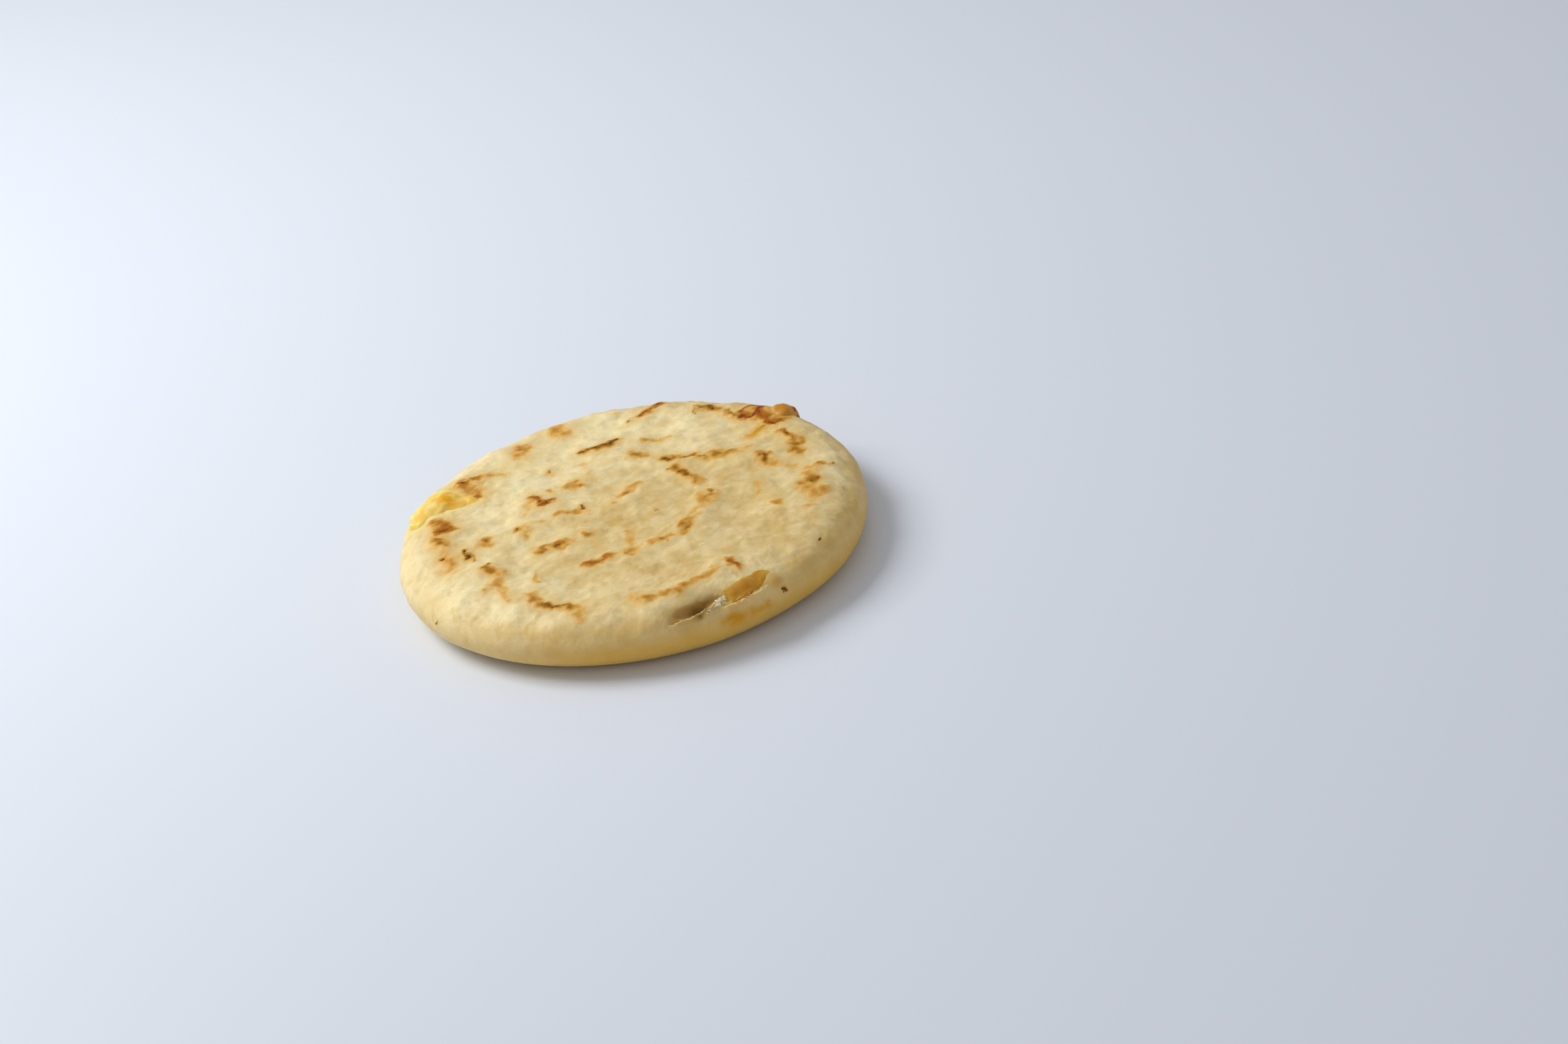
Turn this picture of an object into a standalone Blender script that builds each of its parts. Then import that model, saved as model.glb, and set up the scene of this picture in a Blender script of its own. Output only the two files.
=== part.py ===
"""A pupusa lying flat: corn dough shut round a cheese filling that has burst out in three places.

Lengths are metres and angles degrees. +Z is up, the underside rests on z = 0, and the slit in the
rim faces the near side, -Y. Plan angles are counted from +X towards +Y.
"""

from collections import namedtuple
from math import atan2, cos, degrees, exp, hypot, pi, radians, sin

import bmesh
import bpy
from mathutils import Matrix, Vector

# The whole cake
DIAMETER = 0.1200
THICKNESS = 0.0150
RADIUS = DIAMETER / 2
STEPS_ROUND = 100

# The rim's cross-section: two quarter ellipses that meet at the widest height
WIDEST_HEIGHT = 0.0075
TOP_SHOULDER = 0.0105
LOWER_SHOULDER = 0.0120
ARC_STEPS_TOP = 7
ARC_STEPS_LOWER = 5
TOP_RINGS = 11

# Where the hand-patted outline swells or falls short, in plan
RimSwell = namedtuple("RimSwell", "angle half_width amount")
RIM_SWELLS = (
    RimSwell(-75, 7, 0.0004),
    RimSwell(-38, 13, 0.0006),
    RimSwell(-5, 14, -0.0004),
    RimSwell(68, 14, 0.0003),
    RimSwell(109, 12, -0.0006),
    RimSwell(158, 11, 0.0005),
    RimSwell(209, 9, 0.0003),
    RimSwell(252, 16, -0.0003),
)

# Low ridges and hollows of the top and the shoulder
TopSwell = namedtuple("TopSwell", "x y spread amount")
TOP_SWELLS = (
    TopSwell(0.0250, -0.0540, 0.0040, 0.0008),
    TopSwell(0.0110, -0.0565, 0.0035, 0.0003),
    TopSwell(0.0100, -0.0520, 0.0035, -0.0007),
    TopSwell(0.0190, -0.0450, 0.0045, 0.0006),
    TopSwell(0.0080, -0.0465, 0.0045, 0.0005),
    TopSwell(0.0365, 0.0340, 0.0035, 0.0006),
    TopSwell(0.0412, 0.0326, 0.0042, 0.0011),
    TopSwell(-0.0390, 0.0250, 0.0050, 0.0006),
    TopSwell(-0.0480, -0.0030, 0.0050, 0.0004),
    TopSwell(0.0460, -0.0150, 0.0060, 0.0003),
)
Wave = namedtuple("Wave", "direction length")
WAVES = (
    Wave(18, 0.0240),
    Wave(77, 0.0150),
    Wave(141, 0.0190),
)
WAVE_HEIGHT = 0.00016
FLAT_UNDERSIDE = 0.0010
OUTLINE_POWER = 6

# The filling's flat round body inside the dough
FILLING_RADIUS = 0.0490
FILLING_HEIGHT = 0.0073
FILLING_HALF_THICKNESS = 0.0033
FILLING_EDGE_STEPS = 3
FILLING_STEPS_ROUND = 64
CLEARANCE = 0.0003

# Lobes of filling that run out to the tears. Semi-axes lie along the rim, across it and outwards,
# tilt leans a lobe outwards from upright, twist turns it on that axis, and opening is how far the
# tear reaches past the filling. Fullness is 2 for an ellipsoid, less for pointed ends and more for
# full shoulders, and lumpiness is the share it takes of the melted filling's lumps.
LOBE_FIELDS = "name angle radius height along across outwards tilt twist opening fullness lumpiness"
Lobe = namedtuple("Lobe", LOBE_FIELDS)
LOBES = (
    Lobe("left_burst", 157.2, 0.0518, 0.0098, 0.0084, 0.0062, 0.0058, 18, -20, 0.0, 2.4, 1.0),
    Lobe("left_burst_outer", 163.2, 0.0524, 0.0096, 0.0044, 0.0040, 0.0056, 44, 0, 0.0, 2.4, 1.0),
    Lobe("left_burst_far", 152.0, 0.0512, 0.0097, 0.0046, 0.0046, 0.0053, 22, 0, 0.0, 2.2, 0.0),
    Lobe("left_burst_inner", 156.2, 0.0468, 0.0104, 0.0048, 0.0042, 0.0047, 0, -30, 0.0, 2.4, 0.5),
    Lobe("left_burst_tail", 155.0, 0.0434, 0.0111, 0.0026, 0.0052, 0.0041, 0, -6, 0.0, 1.8, 0.0),
    Lobe("far_bubble", 36.0, 0.0530, 0.0098, 0.0038, 0.0042, 0.0062, 20, 0, 0.0, 2.4, 0.6),
    Lobe("far_crack", 33.2, 0.0447, 0.0108, 0.0017, 0.0044, 0.0042, 0, 8, 0.0016, 1.6, 0.0),
    Lobe("near_slit", -65.2, 0.0528, 0.0098, 0.0076, 0.0021, 0.0057, 48, 4, 0.0020, 2.0, 0.0),
)
LOBE_SEGMENTS = 18
LOBE_RINGS = 11
LUMP_HEIGHT = 0.00030
LUMP_LENGTH = 0.0058
SHORT_EDGE = 0.00002

# The crevice where the dough has folded over beside the slit: a lobe that is cut away and left empty
CREVICE = Lobe("crevice", -79.6, 0.0562, 0.0130, 0.0058, 0.0016, 0.0030, 30, 6, 0.0, 1.8, 0.0)

# Colour, roughness and metallic value of each material
DOUGH_FINISH = ((0.78, 0.66, 0.42, 1.0), 0.52, 0.0)
CHEESE_FINISH = ((0.90, 0.55, 0.07, 1.0), 0.32, 0.0)


def empty_scene():
    """Remove every object that the scene starts with."""
    for old in list(bpy.data.objects):
        bpy.data.objects.remove(old, do_unlink=True)


def new_collection(name):
    """Make a collection in the scene."""
    collection = bpy.data.collections.new(name)
    bpy.context.scene.collection.children.link(collection)
    return collection


def new_material(name, finish):
    """Make a Principled material from a colour, a roughness and a metallic value."""
    colour, roughness, metallic = finish
    material = bpy.data.materials.new(name)
    material.use_nodes = True
    shader = material.node_tree.nodes["Principled BSDF"]
    shader.inputs["Base Color"].default_value = colour
    shader.inputs["Roughness"].default_value = roughness
    shader.inputs["Metallic"].default_value = metallic
    return material


def turned(name, profile, steps):
    """Turn a profile of (radius, height) points, listed top to bottom, into a closed round mesh."""
    mesh = bpy.data.meshes.new(name)
    points = [(radius, 0.0, height) for radius, height in profile]
    edges = [(index, index + 1) for index in range(len(points) - 1)]
    mesh.from_pydata(points, edges, [])
    piece = bpy.data.objects.new(name, mesh)
    bpy.context.scene.collection.objects.link(piece)
    screw = piece.modifiers.new("turn", "SCREW")
    screw.angle = 2 * pi
    screw.steps = steps
    screw.render_steps = steps
    screw.use_merge_vertices = True
    screw.merge_threshold = 0.00001
    solid = bpy.data.meshes.new_from_object(piece.evaluated_get(bpy.context.evaluated_depsgraph_get()))
    bpy.data.objects.remove(piece, do_unlink=True)
    bpy.data.meshes.remove(mesh)
    return solid


def quarter_arc(centre, semi_axes, start, end, steps):
    """Points along an ellipse in the profile's plane, from one angle to another."""
    arc = []
    for step in range(steps + 1):
        turn = radians(start + (end - start) * step / steps)
        radius = centre[0] + semi_axes[0] * cos(turn)
        height = centre[1] + semi_axes[1] * sin(turn)
        arc.append((radius, height))
    return arc


def dough_profile():
    """The cake's half section: flat top, round shoulder, round lower edge and flat underside."""
    plateau = RADIUS - TOP_SHOULDER
    rings = [(plateau * ring / TOP_RINGS, THICKNESS) for ring in range(TOP_RINGS)]
    top_centre = (plateau, WIDEST_HEIGHT)
    top_axes = (TOP_SHOULDER, THICKNESS - WIDEST_HEIGHT)
    top_arc = quarter_arc(top_centre, top_axes, 90, 0, ARC_STEPS_TOP)
    lower_centre = (RADIUS - LOWER_SHOULDER, WIDEST_HEIGHT)
    lower_axes = (LOWER_SHOULDER, WIDEST_HEIGHT)
    lower_arc = quarter_arc(lower_centre, lower_axes, 0, -90, ARC_STEPS_LOWER)
    return rings + top_arc + lower_arc[1:] + [(0.0, 0.0)]


def angle_between(first, second):
    """The smallest turn between two plan angles."""
    return abs((first - second + 180) % 360 - 180)


def outline_growth(angle):
    """How far the rim stands out of the true circle at a plan angle."""
    growth = 0.0
    for swell in RIM_SWELLS:
        share = angle_between(angle, swell.angle) / swell.half_width
        growth += swell.amount * exp(-share * share)
    return growth


def top_relief(x, y):
    """Height of the low ridges and hollows at a place in plan."""
    relief = 0.0
    for order, wave in enumerate(WAVES):
        along = x * cos(radians(wave.direction)) + y * sin(radians(wave.direction))
        relief += WAVE_HEIGHT * sin(2 * pi * along / wave.length + order)
    for swell in TOP_SWELLS:
        share = hypot(x - swell.x, y - swell.y) / swell.spread
        relief += swell.amount * exp(-share * share)
    return relief


def shape_dough(mesh):
    """Give the turned cake its uneven outline and its low relief, and leave the underside flat."""
    normals = [vertex.normal.copy() for vertex in mesh.vertices]
    for vertex, normal in zip(mesh.vertices, normals):
        place = vertex.co.copy()
        angle = degrees(atan2(place.y, place.x))
        share = (hypot(place.x, place.y) / RADIUS) ** OUTLINE_POWER
        vertex.co.xy = place.xy * (1 + share * outline_growth(angle) / RADIUS)
        if place.z > FLAT_UNDERSIDE:
            lift = (place.z / THICKNESS) ** 2
            vertex.co += normal * (lift * top_relief(place.x, place.y))


def filling_profile(clearance):
    """The filling's half section: a flat lens with a round edge, grown by a clearance."""
    half = FILLING_HALF_THICKNESS + clearance
    centre = (FILLING_RADIUS - FILLING_HALF_THICKNESS, FILLING_HEIGHT)
    edge = quarter_arc(centre, (half, half), 90, -90, 2 * FILLING_EDGE_STEPS)
    return [(0.0, FILLING_HEIGHT + half)] + edge + [(0.0, FILLING_HEIGHT - half)]


def lobe_place(lobe):
    """The matrix that puts an upright shape where a lobe is: turned to the rim and leaning out."""
    centre = (lobe.radius * cos(radians(lobe.angle)), lobe.radius * sin(radians(lobe.angle)), lobe.height)
    facing = Matrix.Rotation(radians(lobe.angle + 90), 4, "Z")
    lean = Matrix.Rotation(radians(lobe.tilt), 4, "X")
    twist = Matrix.Rotation(radians(lobe.twist), 4, "Z")
    return Matrix.Translation(centre) @ facing @ lean @ twist


def lumps(place):
    """Height of the melted filling's lumps at a place in space."""
    turn = 2 * pi / LUMP_LENGTH
    wave = sin(turn * (place.x + 0.4 * place.z)) * sin(turn * (place.y - 0.3 * place.x))
    return LUMP_HEIGHT * (wave + 0.5 * cos(turn * 0.7 * (place.x + place.y)))


def blob_mesh(name, lobe, grow, opening):
    """A lobe's closed rounded blob, grown on every side and opened outwards, where the lobe lies."""
    place = lobe_place(lobe)
    semi_axes = (lobe.along + grow, lobe.across + grow, lobe.outwards + grow + opening)
    blob = bmesh.new()
    bmesh.ops.create_uvsphere(blob, u_segments=LOBE_SEGMENTS, v_segments=LOBE_RINGS, radius=1.0)
    for vertex in blob.verts:
        outwards = vertex.co.copy()
        reach = sum(abs(part) ** lobe.fullness for part in outwards) ** (1 / lobe.fullness)
        surface = place @ Vector([size * part / reach for size, part in zip(semi_axes, outwards)])
        vertex.co = surface + (place.to_3x3() @ outwards) * lobe.lumpiness * lumps(surface)
    mesh = bpy.data.meshes.new(name)
    blob.to_mesh(mesh)
    blob.free()
    return mesh


def add_piece(name, mesh, collection):
    """Put a mesh in a collection as a piece of its own, in flat triangles, shaded smooth."""
    faces = bmesh.new()
    faces.from_mesh(mesh)
    bmesh.ops.triangulate(faces, faces=faces.faces)
    faces.to_mesh(mesh)
    faces.free()
    mesh.shade_smooth()
    piece = bpy.data.objects.new(name, mesh)
    collection.objects.link(piece)
    return piece


def add_cutter(name, mesh, collection):
    """Put a mesh among the cutters, drawn as wires and left out of renders."""
    cutter = add_piece(name, mesh, collection)
    cutter.display_type = "WIRE"
    cutter.hide_render = True
    return cutter


def boolean(piece, other, operation):
    """Join another closed shape to a piece, or cut it away."""
    step = piece.modifiers.new(other.name, "BOOLEAN")
    step.operation = operation
    step.object = other
    step.solver = "EXACT"


def merge_short_edges(piece):
    """Close up the tiny edges that crossing faces leave."""
    step = piece.modifiers.new("short edges", "WELD")
    step.merge_threshold = SHORT_EDGE


def join_lobes(body, cutters, clearance, opened):
    """Join every lobe to a round body, grown by a clearance and, if opened, by the tears' openings."""
    for lobe in LOBES:
        name = body.name + "_" + lobe.name
        opening = lobe.opening if opened else 0.0
        blob = add_cutter(name, blob_mesh(name, lobe, clearance, opening), cutters)
        boolean(body, blob, "UNION")


def make_filling(collection, cutters):
    """The cheese filling: its round body with the lobes joined on."""
    body = turned("cheese_filling", filling_profile(0.0), FILLING_STEPS_ROUND)
    body.materials.append(new_material("cheese", CHEESE_FINISH))
    filling = add_piece("cheese_filling", body, collection)
    join_lobes(filling, cutters, 0.0, False)
    merge_short_edges(filling)


def make_dough(collection, cutters):
    """The dough: the shaped cake with the filling's space, the tears and the crevice cut out."""
    body = turned("masa_dough", dough_profile(), STEPS_ROUND)
    body.materials.append(new_material("corn_dough", DOUGH_FINISH))
    shape_dough(body)
    dough = add_piece("masa_dough", body, collection)
    space = turned("filling_space", filling_profile(CLEARANCE), FILLING_STEPS_ROUND)
    hollow = add_cutter("filling_space", space, cutters)
    join_lobes(hollow, cutters, CLEARANCE, True)
    merge_short_edges(hollow)
    boolean(dough, hollow, "DIFFERENCE")
    crevice = blob_mesh("crevice", CREVICE, 0.0, 0.0)
    boolean(dough, add_cutter("crevice", crevice, cutters), "DIFFERENCE")
    merge_short_edges(dough)


def main():
    """Build the whole pupusa."""
    empty_scene()
    pieces = new_collection("pupusa")
    cutters = new_collection("cutters")
    make_filling(pieces, cutters)
    make_dough(pieces, cutters)


main()
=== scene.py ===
"""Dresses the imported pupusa: griddled corn dough, burst cheese, loose crumbs and a pale studio.

Lengths are metres. Only in plan, with the rim rolled out flat, are places, widths and reaches
millimetres, and the classes that hold such sizes say so. X runs to the photograph's right, Y away
from the camera and Z up. The pupusa rests on z = 0 and its centre stands on the Z axis.
"""

import logging
from dataclasses import dataclass
from enum import Enum
from math import cos, pi, radians, sin
from typing import Iterable, Sequence

import bpy
import numpy as np
from mathutils import Matrix, Vector, noise
from mathutils.bvhtree import BVHTree


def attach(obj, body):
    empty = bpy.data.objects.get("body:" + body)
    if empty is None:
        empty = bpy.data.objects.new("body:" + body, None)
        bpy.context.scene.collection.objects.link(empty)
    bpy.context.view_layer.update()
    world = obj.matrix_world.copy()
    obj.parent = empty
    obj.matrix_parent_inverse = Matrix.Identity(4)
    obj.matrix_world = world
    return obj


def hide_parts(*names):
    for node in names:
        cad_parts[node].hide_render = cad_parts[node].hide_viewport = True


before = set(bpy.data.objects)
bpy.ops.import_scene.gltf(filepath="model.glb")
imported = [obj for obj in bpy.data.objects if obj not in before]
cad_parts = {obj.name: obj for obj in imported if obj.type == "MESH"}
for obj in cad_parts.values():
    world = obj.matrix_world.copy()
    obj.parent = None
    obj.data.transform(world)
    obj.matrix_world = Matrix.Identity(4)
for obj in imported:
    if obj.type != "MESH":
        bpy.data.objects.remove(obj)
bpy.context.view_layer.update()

MM = 0.001
LOG = logging.getLogger("pupusa")

Colour = tuple[float, float, float, float]
Point = tuple[float, float]
Place = tuple[float, float, float]
Range = tuple[float, float]


# Small helpers for working by hand on one mesh at a time


def deselect_all() -> None:
    """Leave object mode's selection empty."""
    for piece in list(bpy.context.selected_objects):
        piece.select_set(False)


def pick(piece: bpy.types.Object) -> None:
    """Make one object the active one and the only one selected.

    Args:
        piece: the object.
    """
    deselect_all()
    piece.select_set(True)
    bpy.context.view_layer.objects.active = piece


def name_new(name: str) -> bpy.types.Object:
    """Name the object that an operator has just added.

    Args:
        name: the object's and its mesh's new name.

    Returns:
        The object.
    """
    piece = bpy.context.active_object
    piece.name = name
    if piece.data is not None:
        piece.data.name = name
    return piece


def points_of(piece: bpy.types.Object) -> np.ndarray:
    """Read a mesh's vertices.

    Args:
        piece: the mesh object.

    Returns:
        One row of three coordinates for each vertex.
    """
    points = np.empty(len(piece.data.vertices) * 3)
    piece.data.vertices.foreach_get("co", points)
    return points.reshape(-1, 3)


def move_points(piece: bpy.types.Object, points: np.ndarray) -> None:
    """Put a mesh's vertices in new places.

    Args:
        piece: the mesh object.
        points: one row of three coordinates for each vertex.
    """
    piece.data.vertices.foreach_set("co", points.ravel())
    piece.data.update()


def push_out(piece: bpy.types.Object, heights: np.ndarray) -> None:
    """Move a mesh's vertices along their own normals.

    Args:
        piece: the mesh object.
        heights: how far each vertex moves.
    """
    facing = np.empty(len(heights) * 3)
    piece.data.vertices.foreach_get("normal", facing)
    move_points(piece, points_of(piece) + facing.reshape(-1, 3) * heights[:, None])


def skin_of(piece: bpy.types.Object) -> BVHTree:
    """Keep a mesh's surface as it is now, to measure distances from it."""
    return BVHTree.FromObject(piece, bpy.context.evaluated_depsgraph_get())


def keep_values(piece: bpy.types.Object, name: str, values: np.ndarray) -> None:
    """Store one number a vertex for the material to read.

    Args:
        piece: the mesh object.
        name: the attribute's name.
        values: one number for each vertex.
    """
    attribute = piece.data.attributes.new(name, "FLOAT", "POINT")
    attribute.data.foreach_set("value", values.astype(np.float32))


def apply_step(piece: bpy.types.Object, kind: str, **settings: object) -> None:
    """Add a modifier to a piece and apply it.

    Args:
        piece: the mesh object.
        kind: the modifier's type.
        settings: the modifier's own values.
    """
    pick(piece)
    step = piece.modifiers.new(kind.lower(), kind)
    for setting, value in settings.items():
        setattr(step, setting, value)
    bpy.ops.object.modifier_apply(modifier=step.name)


def join_to(piece: bpy.types.Object, others: Iterable[bpy.types.Object]) -> None:
    """Put other meshes into a piece, as loose shells.

    Args:
        piece: the mesh object that takes the rest.
        others: the objects that go into it.
    """
    pick(piece)
    for other in others:
        other.select_set(True)
    bpy.ops.object.join()


def combine(piece: bpy.types.Object, other: bpy.types.Object, operation: str) -> None:
    """Unite a piece with another closed shape, or cut the other away, and drop the other.

    Args:
        piece: the mesh object that stays.
        other: the shape that is joined on or cut away.
        operation: UNION or DIFFERENCE.
    """
    apply_step(piece, "BOOLEAN", operation=operation, object=other, solver="MANIFOLD")
    bpy.data.objects.remove(other, do_unlink=True)


def smooth_where(piece: bpy.types.Object, chosen: np.ndarray, factor: float, repeat: int) -> None:
    """Smooth some of a mesh's vertices in edit mode.

    Args:
        piece: the mesh object.
        chosen: true for each vertex to smooth.
        factor: how far each pass goes.
        repeat: the number of passes.
    """
    pick(piece)
    select_points(piece, chosen)
    bpy.ops.object.mode_set(mode="EDIT")
    bpy.ops.mesh.vertices_smooth(factor=factor, repeat=repeat)
    bpy.ops.object.mode_set(mode="OBJECT")


def select_points(piece: bpy.types.Object, chosen: np.ndarray) -> None:
    """Select some of a mesh's vertices, ready for vertex select mode.

    Args:
        piece: the mesh object, in object mode.
        chosen: true for each vertex to select.
    """
    bpy.context.tool_settings.mesh_select_mode = (True, False, False)
    mesh = piece.data
    mesh.polygons.foreach_set("select", np.zeros(len(mesh.polygons), bool))
    mesh.edges.foreach_set("select", np.zeros(len(mesh.edges), bool))
    mesh.vertices.foreach_set("select", chosen)


def dress(piece: bpy.types.Object, material: bpy.types.Material) -> None:
    """Shade a finished mesh smooth and give it its one material.

    Args:
        piece: the mesh object.
        material: its material.
    """
    piece.data.shade_smooth()
    piece.data.materials.clear()
    piece.data.materials.append(material)


def wander(points: np.ndarray, length: float, start: float = 0.0) -> np.ndarray:
    """Smooth random waves, the same each run.

    Args:
        points: one row of three coordinates for each place.
        length: the waves' rough length.
        start: where in the pattern to begin, so that two patterns differ.

    Returns:
        One number from about -1 to 1 for each place.
    """
    places = points / length + start
    return np.fromiter((noise.noise(place) for place in places.tolist()), float, len(places))


def bump_curve(distance: np.ndarray, width: float | np.ndarray) -> np.ndarray:
    """Draw a smooth hump: 1 in the middle, and nearly nothing at twice the width."""
    return np.exp(-np.square(distance / width))


def ramp(values: np.ndarray, start: float, width: float) -> np.ndarray:
    """Rise evenly from 0 at start to 1 a width further on, and stay there."""
    return np.clip((values - start) / width, 0.0, 1.0)


# The form of the cake


@dataclass(frozen=True)
class RimSwell:
    """A stretch of the rim that stands out of the true circle or falls short of it.

    Its angle and its half width are in degrees.
    """

    angle: float
    half_width: float
    amount: float


@dataclass(frozen=True)
class TopSwell:
    """A low ridge or hollow of the top or the shoulder."""

    x: float
    y: float
    spread: float
    amount: float


RIM_SWELLS = (
    RimSwell(-75, 7, 0.0004),
    RimSwell(-38, 13, 0.0006),
    RimSwell(-5, 14, -0.0004),
    RimSwell(68, 14, 0.0003),
    RimSwell(109, 12, -0.0006),
    RimSwell(158, 11, 0.0005),
    RimSwell(209, 9, 0.0003),
    RimSwell(252, 16, -0.0003),
)
TOP_SWELLS = (
    TopSwell(0.0250, -0.0540, 0.0040, 0.0008),
    TopSwell(0.0110, -0.0565, 0.0035, 0.0003),
    TopSwell(0.0100, -0.0520, 0.0035, -0.0007),
    TopSwell(0.0190, -0.0450, 0.0045, 0.0006),
    TopSwell(0.0080, -0.0465, 0.0045, 0.0005),
    TopSwell(0.0365, 0.0340, 0.0035, 0.0006),
    TopSwell(0.0412, 0.0326, 0.0042, 0.0011),
    TopSwell(-0.0390, 0.0250, 0.0050, 0.0006),
    TopSwell(-0.0480, -0.0030, 0.0050, 0.0004),
    TopSwell(0.0460, -0.0150, 0.0060, 0.0003),
)


@dataclass(frozen=True)
class CakeForm:
    """The cake's outline: a flat disc with a rim of two quarter ellipses, and its low swells."""

    radius: float = 0.0600
    thickness: float = 0.0150
    widest_height: float = 0.0075
    top_shoulder: float = 0.0105
    lower_shoulder: float = 0.0120
    rim_reach: float = 0.0094
    arc_steps: int = 10
    wave_height: float = 0.00016
    waves: tuple[tuple[int, float], ...] = ((18, 0.0240), (77, 0.0150), (141, 0.0190))
    flat_underside: float = 0.0010
    outline_power: int = 6
    least_share: float = 0.01

    def stations(self) -> list[Point]:
        """List the rim's stations from the underside up.

        Returns:
            The radius and height of each station.
        """
        lower = [-90 + 90 * step / self.arc_steps for step in range(self.arc_steps + 1)]
        upper = [90 * step / self.arc_steps for step in range(1, self.arc_steps + 1)]
        found = []
        for turn in lower + upper:
            shoulder = self.lower_shoulder if turn <= 0 else self.top_shoulder
            out = self.radius - shoulder + shoulder * cos(radians(turn))
            found.append((out, self.widest_height * (1 + sin(radians(turn)))))
        return found

    def section(self, points: np.ndarray) -> tuple[np.ndarray, np.ndarray, np.ndarray]:
        """Find how each point lies in the rim's cross-section.

        Args:
            points: one row of three coordinates for each vertex.

        Returns:
            The shoulder's width at each point, and the point's place outwards and upwards as
            shares of the rim's semi-axes.
        """
        out = np.hypot(points[:, 0], points[:, 1])
        shoulder = np.where(points[:, 2] > self.widest_height, self.top_shoulder, self.lower_shoulder)
        outwards = np.maximum(out - (self.radius - shoulder), 0.0) / shoulder
        upwards = (points[:, 2] - self.widest_height) / self.widest_height
        return shoulder, outwards, upwards

    def settle(self, points: np.ndarray) -> np.ndarray:
        """Draw points that lie near the plain body exactly onto it.

        Args:
            points: one row of three coordinates for each vertex.

        Returns:
            The points on the body.
        """
        shoulder, outwards, upwards = self.section(points)
        reach = np.maximum(np.hypot(outwards, upwards), self.least_share)
        settled = points.copy()
        rim = outwards > 0
        out = np.hypot(points[:, 0], points[:, 1])
        new_out = self.radius - shoulder + shoulder * outwards / reach
        settled[rim, :2] *= (new_out / np.maximum(out, MM))[rim, None]
        settled[:, 2] = self.widest_height * (1 + upwards / reach)
        return settled

    def normals(self, points: np.ndarray) -> np.ndarray:
        """Work out the plain body's outward direction at points that lie on it.

        Args:
            points: one row of three coordinates for each vertex.

        Returns:
            One unit vector for each point.
        """
        shoulder, outwards, upwards = self.section(points)
        out = np.maximum(np.hypot(points[:, 0], points[:, 1]), MM)
        side = outwards / shoulder
        rise = upwards / self.widest_height
        facing = np.column_stack((side * points[:, 0] / out, side * points[:, 1] / out, rise))
        return facing / np.linalg.norm(facing, axis=1)[:, None]

    def unrolled(self, points: np.ndarray) -> np.ndarray:
        """Lay the top and the rim out flat, so that marks can be placed in plan.

        Args:
            points: one row of three coordinates for each vertex.

        Returns:
            The plan place of each point, in millimetres, with the rim rolled out.
        """
        plateau = self.radius - self.top_shoulder
        out = np.hypot(points[:, 0], points[:, 1])
        outwards = np.maximum(out - plateau, 0.0) / self.top_shoulder
        upwards = (points[:, 2] - self.widest_height) / self.widest_height
        round_rim = np.arctan2(outwards, upwards)
        flat = np.where(out > plateau, plateau + round_rim * self.rim_reach, out)
        return points[:, :2] * (flat / np.maximum(out, MM))[:, None] / MM

    def rolled(self, plan: np.ndarray) -> np.ndarray:
        """Find where unrolled places of the upper side lie on the plain body.

        Args:
            plan: the unrolled places in millimetres.

        Returns:
            One row of three coordinates for each place.
        """
        plateau = self.radius - self.top_shoulder
        flat = np.hypot(plan[:, 0], plan[:, 1]) * MM
        round_rim = np.maximum(flat - plateau, 0.0) / self.rim_reach
        out = np.minimum(flat, plateau) + self.top_shoulder * np.sin(round_rim)
        height = self.widest_height * (1 + np.cos(round_rim))
        return np.column_stack((plan * MM * (out / flat)[:, None], height))

    def swollen(self, points: np.ndarray) -> np.ndarray:
        """Give the plain body its uneven outline and its low relief.

        Args:
            points: one row of three coordinates for each vertex of the plain body.

        Returns:
            The moved points.
        """
        facing = self.normals(points)
        angles = np.degrees(np.arctan2(points[:, 1], points[:, 0]))
        growth = np.zeros(len(points))
        for swell in RIM_SWELLS:
            turn = np.abs((angles - swell.angle + 180) % 360 - 180)
            growth += swell.amount * bump_curve(turn, swell.half_width)
        out = np.hypot(points[:, 0], points[:, 1])
        share = (out / self.radius) ** self.outline_power
        moved = points.copy()
        moved[:, :2] *= (1 + share * growth / self.radius)[:, None]
        lift = np.where(points[:, 2] > self.flat_underside, (points[:, 2] / self.thickness) ** 2, 0.0)
        return moved + facing * (lift * self.relief(points))[:, None]

    def relief(self, points: np.ndarray) -> np.ndarray:
        """Height of the low ridges and hollows.

        Args:
            points: one row of three coordinates for each vertex.

        Returns:
            The height at each point.
        """
        height = np.zeros(len(points))
        for order, (direction, length) in enumerate(self.waves):
            along = points[:, 0] * cos(radians(direction)) + points[:, 1] * sin(radians(direction))
            height += self.wave_height * np.sin(2 * pi * along / length + order)
        for swell in TOP_SWELLS:
            away = np.hypot(points[:, 0] - swell.x, points[:, 1] - swell.y)
            height += swell.amount * bump_curve(away, swell.spread)
        return height


# What the griddle left on the dough, and the shade painted on it


class Tone(Enum):
    """How warm a mark's brown is, from the olive of herbs to the red of burnt cheese."""

    OLIVE = 0.0
    TAN = 0.3
    ORANGE = 0.55
    RUST = 0.75
    BURNT = 1.0


@dataclass(frozen=True)
class Mark:
    """One browned stroke or spot, also used for stains and painted shade: its tone, half width, browning,
    charring and path.

    The width and the path are in plan, in millimetres.
    """

    tone: Tone
    width: float
    toast: float
    char: float
    path: tuple[Point, ...]


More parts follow.
